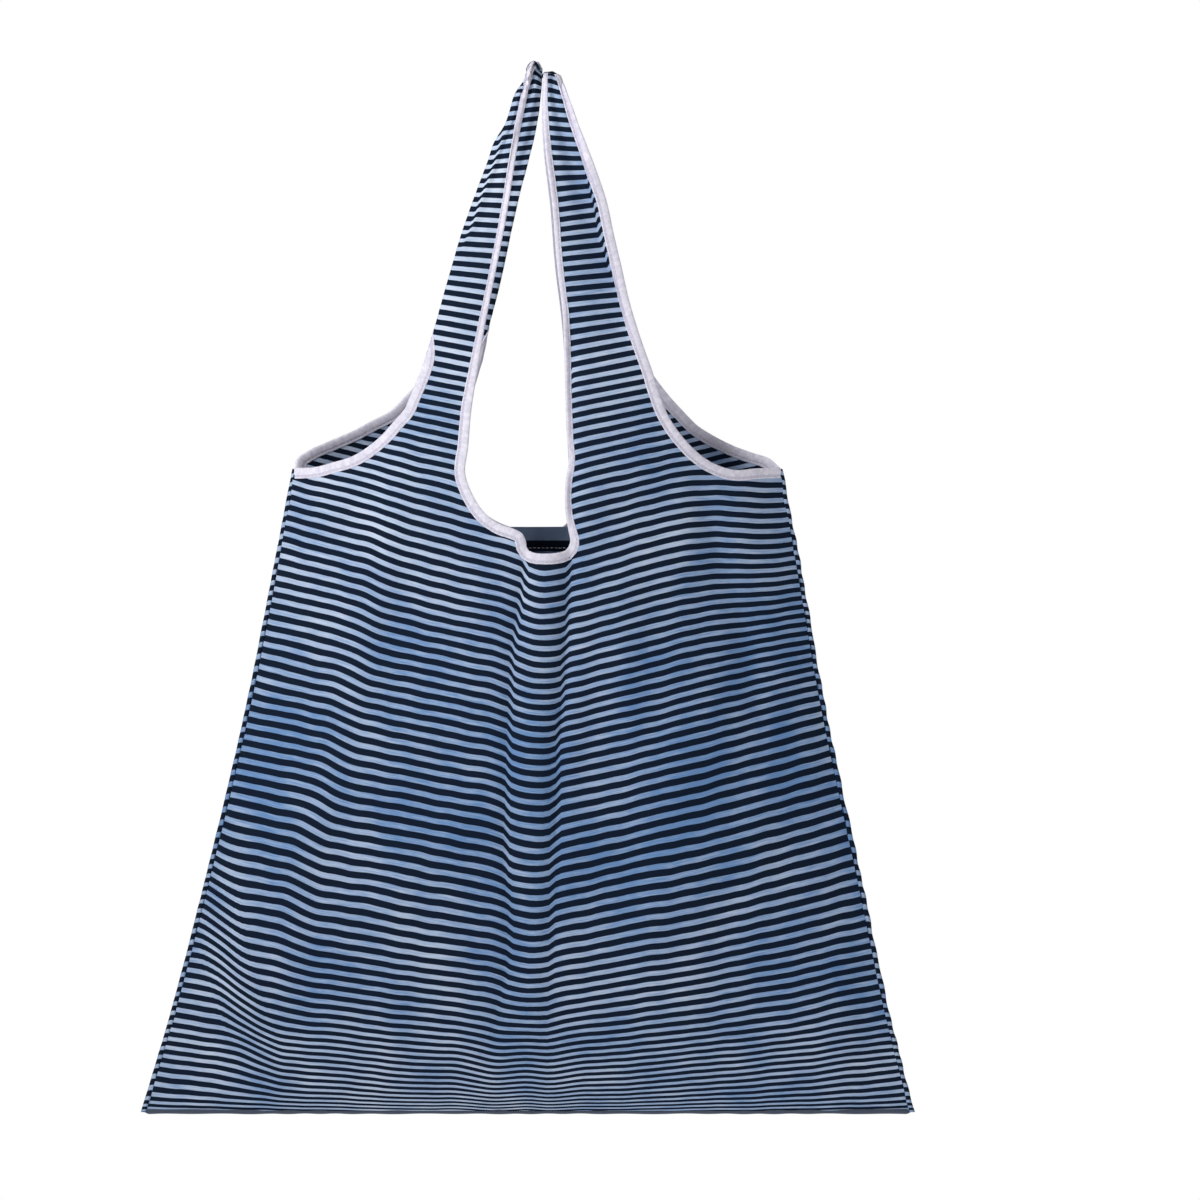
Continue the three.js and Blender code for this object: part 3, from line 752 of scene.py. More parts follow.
def place_on(side, hand, x, h):
    """Where a point of the flat cloth lies. Below the straps' feet h is the height itself, and above
    the crown's bend it is the length of cloth along the quarter turn over the hook."""
    x, h = np.broadcast_arrays(np.asarray(x, float), np.asarray(h, float))
    under = np.zeros(x.shape)
    if (side, hand) in ROLLS:
        roll = ROLLS[side, hand]
        radius = np.maximum(roll["radius"] * ramp(h, STRAP_FOOT, STRAP_FOOT + 14), 1e-6)
        edge = follow(roll["edge"], h)
        away = (x - edge) * roll["cloth"]
        bow = np.sqrt(away**2 + radius**2)
        rolled = edge + roll["cloth"] * (bow - radius / (1 + (away / (2 * radius)) ** 2))
        above = h > STRAP_FOOT
        x = np.where(above, rolled, x)
        under = np.where(above, roll["towards"] * radius * (1 - away / bow), 0)
    bend = CROWN_BEND[hand]
    z = np.minimum(h, bend)
    turn = np.clip((h - bend) / CROWN_RADIUS, 0, np.pi / 2)
    body = np.where(h <= STRAP_FOOT, relief(side, x, np.minimum(z, STRAP_FOOT)), 0)
    neck = relief(side, x, np.full(x.shape, STRAP_FOOT)) * ramp(-h, -STRAP_FOOT - 60, -STRAP_FOOT)
    strap = np.where(h > STRAP_FOOT, strap_relief(side, hand, x, z) + neck, 0)
    out = half_depth(x, z) + body + strap
    level = out - CROWN_RADIUS * (1 - np.cos(turn)) + under * np.cos(turn)
    fall = crown_fall(hand, x) * ramp(h, bend - 16, bend + 13)
    high = z + (CROWN_RADIUS + under) * np.sin(turn) - fall
    return np.stack([x, side * level, high], axis=-1)


def place(side, hands, x, h):
    """The same for a piece with points on both halves: each point goes by its own hand."""
    return np.where((hands < 0)[..., None], place_on(side, -1, x, h), place_on(side, 1, x, h))


print("straps: left crown at", CROWN_BEND[-1] + CROWN_RADIUS, "mm, right at", CROWN_BEND[1] + CROWN_RADIUS)

# %% [markdown]
# ## Where the stripes lie
#
# The stripes are straight in the flat cloth, but the hanging bag pulls them into a shallow V: each
# half slopes down to the middle. So the cloth's up-and-down measure is the height, scaled by how
# closely the stripes follow each other, plus a slope across each half, plus a step at each fold.
# Near the bottom the cloth turns under, and the stripes crowd together.

# %% Stripe map
STRIPE_SPACING = [
    [-684, 1.9], [-676, 2.3], [-668, 3.4], [-656, 4.8], [-640, 6.0], [-600, 6.55], [-500, 6.85],
    [-400, 7.0],
    [-300, 6.75], [-200, 6.6], [-150, 6.6], [-60, 6.3], [10, 6.2],
]
STRIPE_HEIGHTS = np.linspace(-686, 12, 700)
STRIPE_RATE = STRIPE_PERIOD / MM / follow(STRIPE_SPACING, STRIPE_HEIGHTS)
STRIPE_STEPS = (STRIPE_RATE[1:] + STRIPE_RATE[:-1]) / 2 * np.diff(STRIPE_HEIGHTS)
STRIPE_SUMS = np.concatenate([[0], np.cumsum(STRIPE_STEPS)])
MIDDLE_LINE = [[-680, -8], [-600, -6], [-460, 0], [-340, 3], [-200, 3]]
SLOPE = {
    -1: [[-681, 0.045], [-664, 0.12], [-621, 0.14], [-543, 0.15], [-446, 0.175], [-348, 0.225],
         [-270, 0.25],
         [-218, 0.215], [-186, 0.19], [-153, 0.16], [-121, 0.07], [-88, 0.05], [-56, -0.14], [0, -0.1]],
    1: [[-681, -0.04], [-664, -0.12], [-621, -0.165], [-543, -0.19], [-446, -0.225], [-348, -0.27],
        [-270, -0.25], [-218, -0.21], [-186, -0.19], [-153, -0.105], [-121, -0.12], [-88, -0.14],
        [-56, 0.05],
        [0, 0.1]],
}
VALLEY_ROUNDING = 10.0


def body_stripes(side, x, h):
    """What the slopes, the flatter right shoulder and the folds add to the stripe height on the body."""
    from_middle = x - follow(MIDDLE_LINE, h)
    rounded = np.sqrt(from_middle**2 + VALLEY_ROUNDING**2) - VALLEY_ROUNDING
    slope = np.where(from_middle < 0, -follow(SLOPE[-1], h), follow(SLOPE[1], h))
    flatter = ramp(x, 70, 150) * ramp(h, -420, -300) * 0.19 * (x - 70) * (side < 0)
    total = slope * rounded + flatter
    for fold in FOLDS[side].values():
        away = x - follow(fold["line"], h)
        for kind in ("step", "sharp"):
            if kind in fold:
                reach = fold[kind + "_width"]
                total = total + follow(fold[kind], h) * ramp(away, -reach, reach)
    gather = np.sin(x / 8.5 + 1.3 * np.sin(x / 29)) * (0.3 + 1.2 * np.exp(-(((x + 20) / 50) ** 2)))
    slack = 0.35 * ripple(side, x, h, 1.9) * ramp(-h, -STRAP_FOOT, -STRAP_FOOT + 60)
    return total + slack + 1.3 * gather * ramp(-h, 600, 655)


def strap_middle(side, hand, h):
    """Where a strap's middle line is at a height."""
    return (follow(OUTER_EDGE[side, hand], h) + follow(INNER_EDGE[side, hand], h)) / 2


def stripe_height(side, hand, x, h):
    """The cloth's own height in the stripe pattern, in millimetres, at a point of the flat cloth."""
    x, h = np.broadcast_arrays(np.asarray(x, float), np.asarray(h, float))
    base = np.interp(h, STRIPE_HEIGHTS, STRIPE_SUMS)
    foot = np.full(x.shape, STRAP_FOOT)
    middle, middle_foot = strap_middle(side, hand, h), strap_middle(side, hand, foot)
    crease = STRAP_CREASES[side, hand]
    past = ramp((x - follow(crease["line"], h)) * hand, -0.8, 1.2)
    step = crease["step"] * ramp(h, crease["from"], crease["from"] + 25) * past
    strap = follow(SLOPE[hand], h) * (x - middle) + body_stripes(side, middle_foot, foot) + step
    return base + np.where(h > STRAP_FOOT, strap, body_stripes(side, x, h))


print("stripes on the body:", round(float(np.ptp(STRIPE_SUMS)) / (STRIPE_PERIOD / MM)))

# %% [markdown]
# ## Making meshes
#
# Two makers cover nearly every piece. A sheet takes a grid of points and gives it two faces and a
# rim, so it is closed and has a true thickness. A run takes closed rings and joins them, with a cap
# at each end. Both check which way their faces point by the sign of their volume.

# %% Sheets and runs
CLOTH_THICKNESS = 0.4
SHARP_ANGLE = math.radians(55)


def orient(points, faces):
    """Faces turned round where their volume is negative: the sum of a . (b x c) over their triangles."""
    fans = [f[:, [0, i, i + 1]] for f in faces for i in range(1, f.shape[1] - 1)]
    a, b, c = (points[np.concatenate(fans)[:, i]] for i in range(3))
    return [f[:, ::-1] for f in faces] if (a * np.cross(b, c)).sum() < 0 else faces


def finish_mesh(name, points, faces, flat, finishes, finish_of_face=None):
    """An object from points in millimetres, faces by point number, and each point's flat place."""
    faces = orient(points, faces)
    corners = np.concatenate([f.ravel() for f in faces])
    counts = np.concatenate([np.full(len(f), f.shape[1]) for f in faces])
    starts = np.concatenate([[0], np.cumsum(counts)[:-1]])
    mesh = bpy.data.meshes.new(name)
    mesh.vertices.add(len(points))
    mesh.vertices.foreach_set("co", (points * MM).astype(np.float32).ravel())
    mesh.loops.add(len(corners))
    mesh.loops.foreach_set("vertex_index", corners.astype(np.int32))
    mesh.polygons.add(len(counts))
    mesh.polygons.foreach_set("loop_start", starts.astype(np.int32))
    layer = mesh.uv_layers.new(name="flat")
    layer.data.foreach_set("uv", (flat[corners] * MM).astype(np.float32).ravel())
    for finish in finishes:
        mesh.materials.append(finish)
    if finish_of_face is not None:
        mesh.polygons.foreach_set("material_index", np.asarray(finish_of_face, np.int32))
    mesh.polygons.foreach_set("use_smooth", np.ones(len(counts), bool))
    mesh.update(calc_edges=True)
    mesh.validate()
    mesh.set_sharp_from_angle(angle=SHARP_ANGLE)
    piece = bpy.data.objects.new(name, mesh)
    bpy.context.scene.collection.objects.link(piece)
    return piece


def grid_faces(rows, columns, start=0, wrap=False):
    """Quads of a grid of points, by number. With wrap, the last column joins the first."""
    number = start + np.arange(rows * columns).reshape(rows, columns)
    if wrap:
        number = np.concatenate([number, number[:, :1]], axis=1)
    quads = [number[:-1, :-1], number[1:, :-1], number[1:, 1:], number[:-1, 1:]]
    return np.stack([q.ravel() for q in quads], axis=1)


def unit(vectors):
    """Vectors divided by their length, along the last axis."""
    return vectors / np.maximum(np.linalg.norm(vectors, axis=-1, keepdims=True), 1e-9)


def normals_of(grid):
    """Unit vectors square to a grid of points, from its differences along and across."""
    return unit(np.cross(np.gradient(grid, axis=0), np.gradient(grid, axis=1)))


def sheet_parts(grid, flat, thickness):
    """Points, faces and flat places of a closed sheet round a grid of points."""
    rows, columns = grid.shape[:2]
    out = normals_of(grid) * thickness / 2
    points = np.concatenate([(grid + out).reshape(-1, 3), (grid - out).reshape(-1, 3)])
    count = rows * columns
    front = grid_faces(rows, columns)
    number = np.arange(count).reshape(rows, columns)
    ring = np.concatenate([number[:, 0], number[-1, 1:], number[-2::-1, -1], number[0, -2:0:-1]])
    after = np.roll(ring, -1)
    rim = np.stack([after, ring, ring + count, after + count], axis=1)
    faces = np.concatenate([front, front[:, ::-1] + count, rim])
    return points, [faces], np.concatenate([flat.reshape(-1, 2)] * 2)


def make_sheet(name, grid, flat, finish, thickness=CLOTH_THICKNESS):
    """A closed piece of cloth round a grid of points in millimetres."""
    return finish_mesh(name, *sheet_parts(grid, flat, thickness), [finish])


def run_parts(rings, flat):
    """Points, faces and flat places of closed rings joined in a row, with a cap at each end."""
    count, around = rings.shape[:2]
    number = np.arange(count * around).reshape(count, around)
    caps = np.stack([number[0], number[-1, ::-1]])
    return rings.reshape(-1, 3), [grid_faces(count, around, 0, True), caps], flat.reshape(-1, 2)


print("cloth is", CLOTH_THICKNESS, "mm thick")

# %% [markdown]
# ## Stitches
#
# A machine stitch is a short length of thread that dips into the cloth at both ends. Each one here is
# a small closed bead, longer than wide. They are set along a row at an even pitch, all as one array.

# %% Stitches
STITCH_LENGTH = 2.2
STITCH_PITCH = 2.8
STITCH_WIDTH = 0.42
BEAD_STATIONS = np.array([-1, -0.8, -0.35, 0.35, 0.8, 1])
BEAD_GIRTHS = np.array([0.15, 0.7, 1, 1, 0.7, 0.15])
BEAD_SIDES = 6


def stitch_parts(line, out):
    """Beads along a line of points: each ring of a bead is a circle in the plane square to the line."""
    along = np.concatenate([[0], np.cumsum(np.linalg.norm(np.diff(line, axis=0), axis=1))])
    at = np.arange(STITCH_PITCH / 2, along[-1] - STITCH_PITCH / 4, STITCH_PITCH)

    def sample(values, where):
        return np.stack([np.interp(where, along, column) for column in values.T], axis=1)

    middle = sample(line, at)
    forward = unit(sample(line, at + 0.6) - sample(line, at - 0.6))
    up = unit(sample(out, at))
    side = np.cross(forward, up)
    turn = np.arange(BEAD_SIDES) * 2 * np.pi / BEAD_SIDES
    reach = BEAD_STATIONS * STITCH_LENGTH / 2
    sink = -0.25 * BEAD_STATIONS**4
    girth = BEAD_GIRTHS * STITCH_WIDTH / 2
    rings = (
        middle[:, None, None]
        + forward[:, None, None] * reach[None, :, None, None]
        + up[:, None, None] * (sink[:, None] + girth[:, None] * np.sin(turn))[None, :, :, None]
        + side[:, None, None] * (girth[:, None] * np.cos(turn))[None, :, :, None] * 1.2
    )
    beads, stations, sides = rings.shape[:3]
    size = stations * sides
    shift = (np.arange(beads) * size)[:, None, None]
    quads = (grid_faces(stations, sides, 0, True)[None] + shift).reshape(-1, 4)
    number = np.arange(size).reshape(stations, sides)
    caps = (np.stack([number[0], number[-1, ::-1]])[None] + shift).reshape(-1, sides)
    u = at[:, None, None] + reach[None, :, None] + 0 * turn
    v = 0 * u + (girth[:, None] * turn)[None]
    flat = np.stack([u, v], axis=-1).reshape(-1, 2)
    return rings.reshape(-1, 3), [quads, caps], flat


def join_parts(name, parts, finishes):
    """One object from several (points, faces, flat, finish number) parts, each turned to face out."""
    groups, owners = {}, {}
    start = 0
    for points, faces, _, finish in parts:
        for f in orient(points, faces):
            groups.setdefault(f.shape[1], []).append(f + start)
            owners.setdefault(f.shape[1], []).append(np.full(len(f), finish))
        start += len(points)
    faces = [np.concatenate(group) for group in groups.values()]
    owner = np.concatenate([np.concatenate(group) for group in owners.values()])
    points, flat = (np.concatenate([part[k] for part in parts]) for k in (0, 2))
    return finish_mesh(name, points, faces, flat, finishes, owner)


print("stitches:", STITCH_PITCH, "mm apart")

# %% [markdown]
# ## The cut edges
#
# Each panel has three bound edges: an armhole, the neck, and the other armhole. The tables give the
# tape's free edge as x and height, and the place where the column of cloth below that point stands
# at the merge height. The edges run on up the straps, so each path is drawn whole and cut at the
# straps' feet: the tape on the body rides on the bag, and the tape on a strap stays where it is made.

# %% Edge tables
LEFT_ARMHOLE = {
    -1: [[-159, -262, -171], [-146, -261.5, -158], [-134, -258.5, -146], [-121, -254.5, -135],
         [-109, -247, -124],
         [-101, -240, -116], [-94, -232, -110], [-87, -224, -104], [-84, -217, -101], [-79, -205, -97],
         [-77, -200, -95]],
    1: [[-159, -262, -171], [-158, -256, -168], [-153, -252, -163], [-139, -245, -149], [-123, -238, -134],
        [-110, -231, -122], [-97, -224, -111], [-89, -216, -105], [-81, -207, -99], [-77, -200, -95]],
}
RIGHT_ARMHOLE = {
    -1: [[73.3, -200, 91], [75, -206, 93], [79, -218, 97], [84, -229.5, 102], [91, -240, 108],
         [100, -250, 116],
         [106.5, -255.5, 122], [114.5, -260, 129], [127, -263.5, 141], [139, -262.5, 152],
         [156, -261.5, 168]],
    1: [[73.3, -200, 91], [77, -205, 94], [84, -214, 100], [94, -225, 109], [103, -234, 118],
        [114, -241, 128],
        [128, -248, 140], [139, -252, 150], [150, -256, 161], [156, -261.5, 168]],
}
NECK = {
    -1: [[-40, -200, -62], [-44, -226, -57.5], [-46, -250, -54], [-47.8, -266, -50.5],
         [-43.5, -278.7, -45.5],
         [-33.8, -292.8, -35.5], [-25, -298.9, -26.5], [-16.3, -301.8, -18.5], [-10.5, -305.2, -14.5],
         [-8.6, -309.5, -11.5], [-7.4, -315.2, -9], [-3, -317.4, -3.5], [3, -317.8, 2.5], [12, -317.2, 12],
         [17.5, -315.5, 17.5], [20, -310.5, 21], [18.9, -303, 23.5], [17.1, -289, 27], [17.5, -270, 31],
         [19, -261, 33.5], [18, -240, 37], [17, -214, 42], [16.7, -200, 45]],
    1: [[-40, -200, -62], [-46, -220, -59.5], [-51, -240, -57.5], [-54, -257, -54.5], [-53, -268, -52],
        [-45, -282, -44.5], [-35, -292, -34.5], [-22, -299, -22], [-10, -301.5, -10], [1, -302, 1],
        [12, -301, 12], [17.5, -297.5, 19], [20, -291, 24], [19.5, -273, 29], [18.6, -255, 34],
        [17.3, -230, 39], [16.7, -200, 45]],
}
CLOTH_INSET = 2.6
PATH_STEP = 3.0
# The tape's width on a strap and at the hook, and the heights between which it gets narrower.
TAPE_WIDTHS = {
    "left_inner": {"strap": 4.3, "hook": 3.2, "heights": (-240, -150)},
    "right_inner": {"strap": 4.0, "hook": 3.0, "heights": (-312, -298)},
    "outer": {"strap": 6.6, "hook": 4.2, "heights": (-240, -150)},
}
ARMHOLES = {-1: LEFT_ARMHOLE, 1: RIGHT_ARMHOLE}


def edge_width(kind, h):
    """Width of the tape at a height: the full width on the body, narrower where a strap is bunched."""
    facts = TAPE_WIDTHS[kind]
    width = TAPE_WIDTH + (facts["strap"] - TAPE_WIDTH) * ramp(h, *facts["heights"])
    return width + (facts["hook"] - facts["strap"]) * ramp(h, -70, -8)


def strap_edge(side, hand, edge):
    """An edge of a strap in the flat cloth, from its foot to the seam over the hook."""
    table = (OUTER_EDGE if edge == "outer" else INNER_EDGE)[side, hand]
    top = CROWN_BEND[hand] + CROWN_TURN
    h = np.linspace(STRAP_FOOT, top, round((top - STRAP_FOOT) / PATH_STEP) + 1)
    x = follow(table, h)
    roll = ROLLS.get((side, hand))
    if roll and roll["edge"] is table:
        x = x - roll["cloth"] * roll["turned"] * roll_amount(h) * (1 - 0.55 * ramp(h, -60, 0))
    return np.stack([x, h], axis=1)


def inward(path):
    """Unit vectors in the flat cloth, square to a path and to its right, where the cloth is."""
    step = np.gradient(path[:, :2], axis=0)
    step /= np.linalg.norm(step, axis=1, keepdims=True)
    return np.stack([step[:, 1], -step[:, 0]], axis=1)


print("edges:", sum(len(t) for e in (LEFT_ARMHOLE, NECK, RIGHT_ARMHOLE) for t in e.values()), "points")

# %% [markdown]
# ## The two panels
#
# A panel is a grid of columns. Every column starts at the bottom seam, keeps its share of the width up
# to the merge height, and then leans to its own point on the top edge. The cloth ends a little inside
# the tape, which hides its raw edge. The grid is finer towards the bottom, where the cloth turns under.

# %% Panels
LOWER_ROWS = 118
UPPER_ROWS = 40
SEAM_INSET = 1.6
TOP_STEP = 3.2
STRAP_COLUMNS = {-1: 16, 1: 22}


def body_edge(table):
    """The cloth's own edge under the tape: the free edge moved inwards, with each column's foot."""
    path = spaced_path(table, TOP_STEP)
    moved = path[:, :2] + inward(path) * CLOTH_INSET
    moved[[0, -1]] = path[[0, -1], :2]
    return np.concatenate([moved, path[:, 2:]], axis=1)


def foot_line(side, hand):
    """The straight cut across the foot of a strap, with each column's foot."""
    neck, armhole = NECK[side], ARMHOLES[hand][side]
    ends = [armhole[-1], neck[0]] if hand < 0 else [neck[-1], armhole[0]]
    start, end = (np.array(e, float) for e in ends)
    start[0] += CLOTH_INSET
    end[0] -= CLOTH_INSET
    return start + (end - start) * np.linspace(0, 1, STRAP_COLUMNS[hand] + 1)[:, None]


def panel_top(side):
    """The top of a panel from left to right, as x, height and the foot of each column."""
    return np.concatenate([
        body_edge(LEFT_ARMHOLE[side])[:-1],
        foot_line(side, -1),
        body_edge(NECK[side])[1:-1],
        foot_line(side, 1),
        body_edge(RIGHT_ARMHOLE[side])[1:],
    ])


def sewn_limits(z):
    """The cloth's left and right limits at a height of the body, a little inside the side seams."""
    left, right = outline(z)
    return left + SEAM_INSET, right - SEAM_INSET


def panel_grid(side):
    """Flat places of a panel's points: columns across, rows from the bottom seam to the top edge."""
    top = panel_top(side)
    left, right = sewn_limits(FOLD_MERGE)
    share = np.clip((top[:, 2] - left) / (right - left), 0, 1)
    share[0], share[-1] = 0, 1
    foot_x = left + share * (right - left)
    t = np.linspace(0, 1, LOWER_ROWS + 1)
    rows_z = BOTTOM + SEAM_INSET + (FOLD_MERGE - BOTTOM - SEAM_INSET) * (0.35 * t**2 + 0.65 * t)
    left, right = sewn_limits(rows_z)
    lower_x = left[None] + share[:, None] * (right - left)[None]
    lower_h = np.broadcast_to(rows_z, lower_x.shape)
    s = np.linspace(0, 1, UPPER_ROWS + 1)[1:]
    upper_x = foot_x[:, None] + (top[:, :1] - foot_x[:, None]) * s
    upper_h = FOLD_MERGE + (top[:, 1:2] - FOLD_MERGE) * s
    return np.concatenate([lower_x, upper_x], axis=1), np.concatenate([lower_h, upper_h], axis=1)


def make_panel(side, name):
    """A panel's cloth, with its stripes measured in its own flat map."""
    x, h = panel_grid(side)
    v = np.where(x < 0, stripe_height(side, -1, x, h), stripe_height(side, 1, x, h))
    piece = make_sheet(name, place(side, x, x, h), np.stack([x, v], axis=-1), STRIPED)
    print(name, len(piece.data.polygons), "faces")
    return piece


front_panel = make_panel(-1, "front_panel_cloth")
back_panel = make_panel(1, "back_panel_cloth")

# %% [markdown]
# ## The four straps
#
# A strap starts with the very points its panel ends with, so the joint between them doesn't show, and
# rises to the seam over the hook. Its cloth is cut a little wider than it looks, and the rest is
# rolled over at one edge.

# %% Straps
STRAP_ROWS = 84
HAND_NAMES = {-1: "left", 1: "right"}
SIDE_NAMES = {-1: "front", 1: "back"}


def strap_limits(side, hand, h):
    """The cloth's left and right limits in the flat map at each height, inside both tapes. A left
    strap's outer edge is its left one, and a right strap's is its right one."""
    paths = [strap_edge(side, hand, edge) for edge in ("outer", "inner")[::-hand]]
    low, high = (np.interp(h, path[:, 1], path[:, 0]) for path in paths)
    inset = CLOTH_INSET * (1 - 0.55 * ramp(h, -120, -10))
    return low + inset, high - inset


def make_strap(side, hand):
    """A strap's cloth from its foot to the seam over the hook. A rolled one has twice the columns."""
    top = CROWN_BEND[hand] + CROWN_TURN
    h = np.linspace(STRAP_FOOT, top, STRAP_ROWS)
    low, high = strap_limits(side, hand, h)
    columns = STRAP_COLUMNS[hand] * (2 if (side, hand) in ROLLS else 1)
    x = low + (high - low) * np.linspace(0, 1, columns + 1)[:, None]
    heights = np.broadcast_to(h, x.shape)
    grid = place_on(side, hand, x, heights)
    v = stripe_height(side, hand, x, heights)
    name = f"{SIDE_NAMES[side]}_{HAND_NAMES[hand]}_strap_cloth"
    return make_sheet(name, grid, np.stack([x, v], axis=-1), STRIPED)


straps = {(side, hand): make_strap(side, hand) for side in SIDE_NAMES for hand in HAND_NAMES}
print("straps:", [p.name for p in straps.values()])

# %% [markdown]
# ## The white tape
#
# The tape is folded over the raw edge like the cover of a book, and sewn through. Its section is a
# flattened loop: plump at the folded edge, nipped in at the stitches, thin at the far edge. The
# section is carried along the edge in the flat cloth and then placed like the cloth itself, so the
# tape bends with every fold.

# %% Tape
TAPE_PUFF = np.array([0.12, 0.55, 0.86, 0.95, 0.92, 0.78, 0.56, 0.42, 0.56, 0.68, 0.36])
STITCH_LIFT = 0.05
WIDTH_EASE = 9


def tape_parts(side, hands, path, widths):
    """The tape's rings along a path of the flat cloth, and a row of stitches on each of its faces."""
    step = inward(path)
    along = length_along(path)
    breathe = 0.16 * np.sin(along / 2.3 + 1.4 * np.sin(along / 11)) + 0.10 * np.sin(along / 5.1)
    across = TAPE_ACROSS[None] * (widths + 0.35 * breathe)[:, None]
    x = path[:, :1] + across * step[:, :1]
    h = path[:, 1:2] + across * step[:, 1:2]
    spots = place(side, hands[:, None], x, h)
    out = normals_of(spots)
    if (out[..., 1] * side).mean() < 0:
        out = -out
    puff = TAPE_PUFF[None] * (1 + 0.5 * breathe)[:, None]
    outer, inner = spots + out * puff[..., None], spots - out * puff[..., None]
    rings = np.concatenate([outer, inner[:, ::-1]], axis=1)
    flat = np.stack(np.broadcast_arrays(along[:, None], TAPE_WIDTH * TAPE_ACROSS), axis=-1)
    flat = np.concatenate([flat, flat[:, ::-1]], axis=1)
    rows = []
    for face, sign in ((outer, 1), (inner, -1)):
        away = sign * out[:, STITCH_ROW]
        rows.append((*stitch_parts(face[:, STITCH_ROW] + away * STITCH_LIFT, away), 1))
    return rings, flat, rows


def make_tapes(side, hands, path, widths, spans):
    """The tapes along a path, one for each (first, last) span of it. The rings are made for the whole
    path, so that neighbours meet, and the stitches for each span."""
    rings, flat, _ = tape_parts(side, hands, path, widths)
    for kind, (first, last) in spans.items():
        _, _, rows = tape_parts(side, hands[first:last], path[first:last], widths[first:last])
        parts = [(*run_parts(rings[first:last], flat[first:last]), 0), *rows]
        tapes[side, kind] = join_parts(f"{SIDE_NAMES[side]}_{kind}_tape", parts, [TAPE, WHITE_THREAD])


def make_armhole_tapes(side, hand):
    """An armhole's tape on the body, and the tape on the outer edge of the strap above it."""
    body = spaced_path(ARMHOLES[hand][side], PATH_STEP)[:, :2]
    strap = strap_edge(side, hand, "outer")
    armhole, outer = f"{HAND_NAMES[hand]}_armhole", f"{HAND_NAMES[hand]}_outer"
    if hand < 0:
        path, cut = np.concatenate([body[:-1], strap]), len(body) - 1
        spans = {armhole: (0, cut + 1), outer: (cut, len(path))}
    else:
        path, cut = np.concatenate([strap[::-1], body[1:]]), len(strap) - 1
        spans = {armhole: (cut, len(path)), outer: (0, cut + 1)}
    make_tapes(side, np.full(len(path), hand), path, edge_width("outer", path[:, 1]), spans)


def make_neck_tapes(side):
    """The neck's tape on the body, and the tapes on the inner edges of both straps."""
    left, right = strap_edge(side, -1, "inner"), strap_edge(side, 1, "inner")
    body = spaced_path(NECK[side], PATH_STEP)[:, :2]
    path = np.concatenate([left[::-1], body[1:-1], right])
    first, last = len(left) - 1, len(left) + len(body) - 2
    hands = np.where(np.arange(len(path)) < (first + last) // 2, -1, 1)
    by_hand = [edge_width(kind, path[:, 1]) for kind in ("left_inner", "right_inner")]
    widths = np.pad(np.where(hands < 0, *by_hand), WIDTH_EASE // 2, mode="edge")
    widths = np.convolve(widths, np.ones(WIDTH_EASE) / WIDTH_EASE, "valid")
    spans = {"left_inner": (0, first + 1), "neck": (first, last + 1), "right_inner": (last, len(path))}
    make_tapes(side, hands, path, widths, spans)


tapes = {}
for tape_side in (-1, 1):
    make_neck_tapes(tape_side)
    for tape_hand in (-1, 1):
        make_armhole_tapes(tape_side, tape_hand)
print("tapes:", len(tapes))

# %% [markdown]
# ## The seams
#
# The side seams are turned and sewn, and stand out as thin rolls. Nobody matched the stripes when the
# bag was sewn, so the roll's stripes are out of step with both panels. The bottom seam is overlocked,
# and the cloth above it gathers.

# %% Seams
SIDE_ROLL = (1.9, 2.9)
BOTTOM_ROLL = (4.0, 1.9)
ROLL_SIDES = 12
ROLL_TURN = np.arange(ROLL_SIDES) * 2 * np.pi / ROLL_SIDES
SHOULDER_REACH = 6.4


X_WAY, Y_WAY, Z_WAY = np.eye(3)


def roll_rings(line, across, up, wide, high):
    """Rings round a line: an ellipse in the plane of two vectors, with its own half width and height."""
    wide, high = np.broadcast_to(wide, len(line)), np.broadcast_to(high, len(line))
    sideways = (wide[:, None] * np.cos(ROLL_TURN))[..., None] * across
    return line[:, None] + sideways + (high[:, None] * np.sin(ROLL_TURN))[..., None] * up


def make_roll(name, rings, u, v, finish):
    """A closed roll of cloth or thread from its rings, with one flat place for each ring's points."""
    flat = np.stack(np.broadcast_arrays(u, v), axis=-1).astype(float)
    return finish_mesh(name, *run_parts(rings, flat), [finish])


def make_side_seam(hand):
    """The rolled seam at one side, from the bottom corner up to the armholes."""
    z = np.linspace(BOTTOM + 0.5, -262.5, 330)
    edge = outline(z)[0 if hand < 0 else 1]
    sway = 0.40 * np.sin(z / 2.9 + 1.7 * np.sin(z / 17)) + 0.25 * np.sin(z / 7.3 + hand)
    wander = 0.8 * np.sin(z / 4.1 + 2 * np.sin(z / 31))
    line = np.stack([edge - hand * 0.2 + 0.45 * sway, wander, z], axis=1)
    rings = roll_rings(line, X_WAY, Y_WAY, SIDE_ROLL[0] + 0.3 * sway, SIDE_ROLL[1] + 0.5 * sway)
    stripes = stripe_height(-1, hand, edge, z) + 3.1 + 1.2 * np.sin(z / 14)
    name = f"{HAND_NAMES[hand]}_side_seam_roll"
    return make_roll(name, rings, 3 * ROLL_TURN, stripes[:, None] + np.sin(ROLL_TURN), STRIPED)


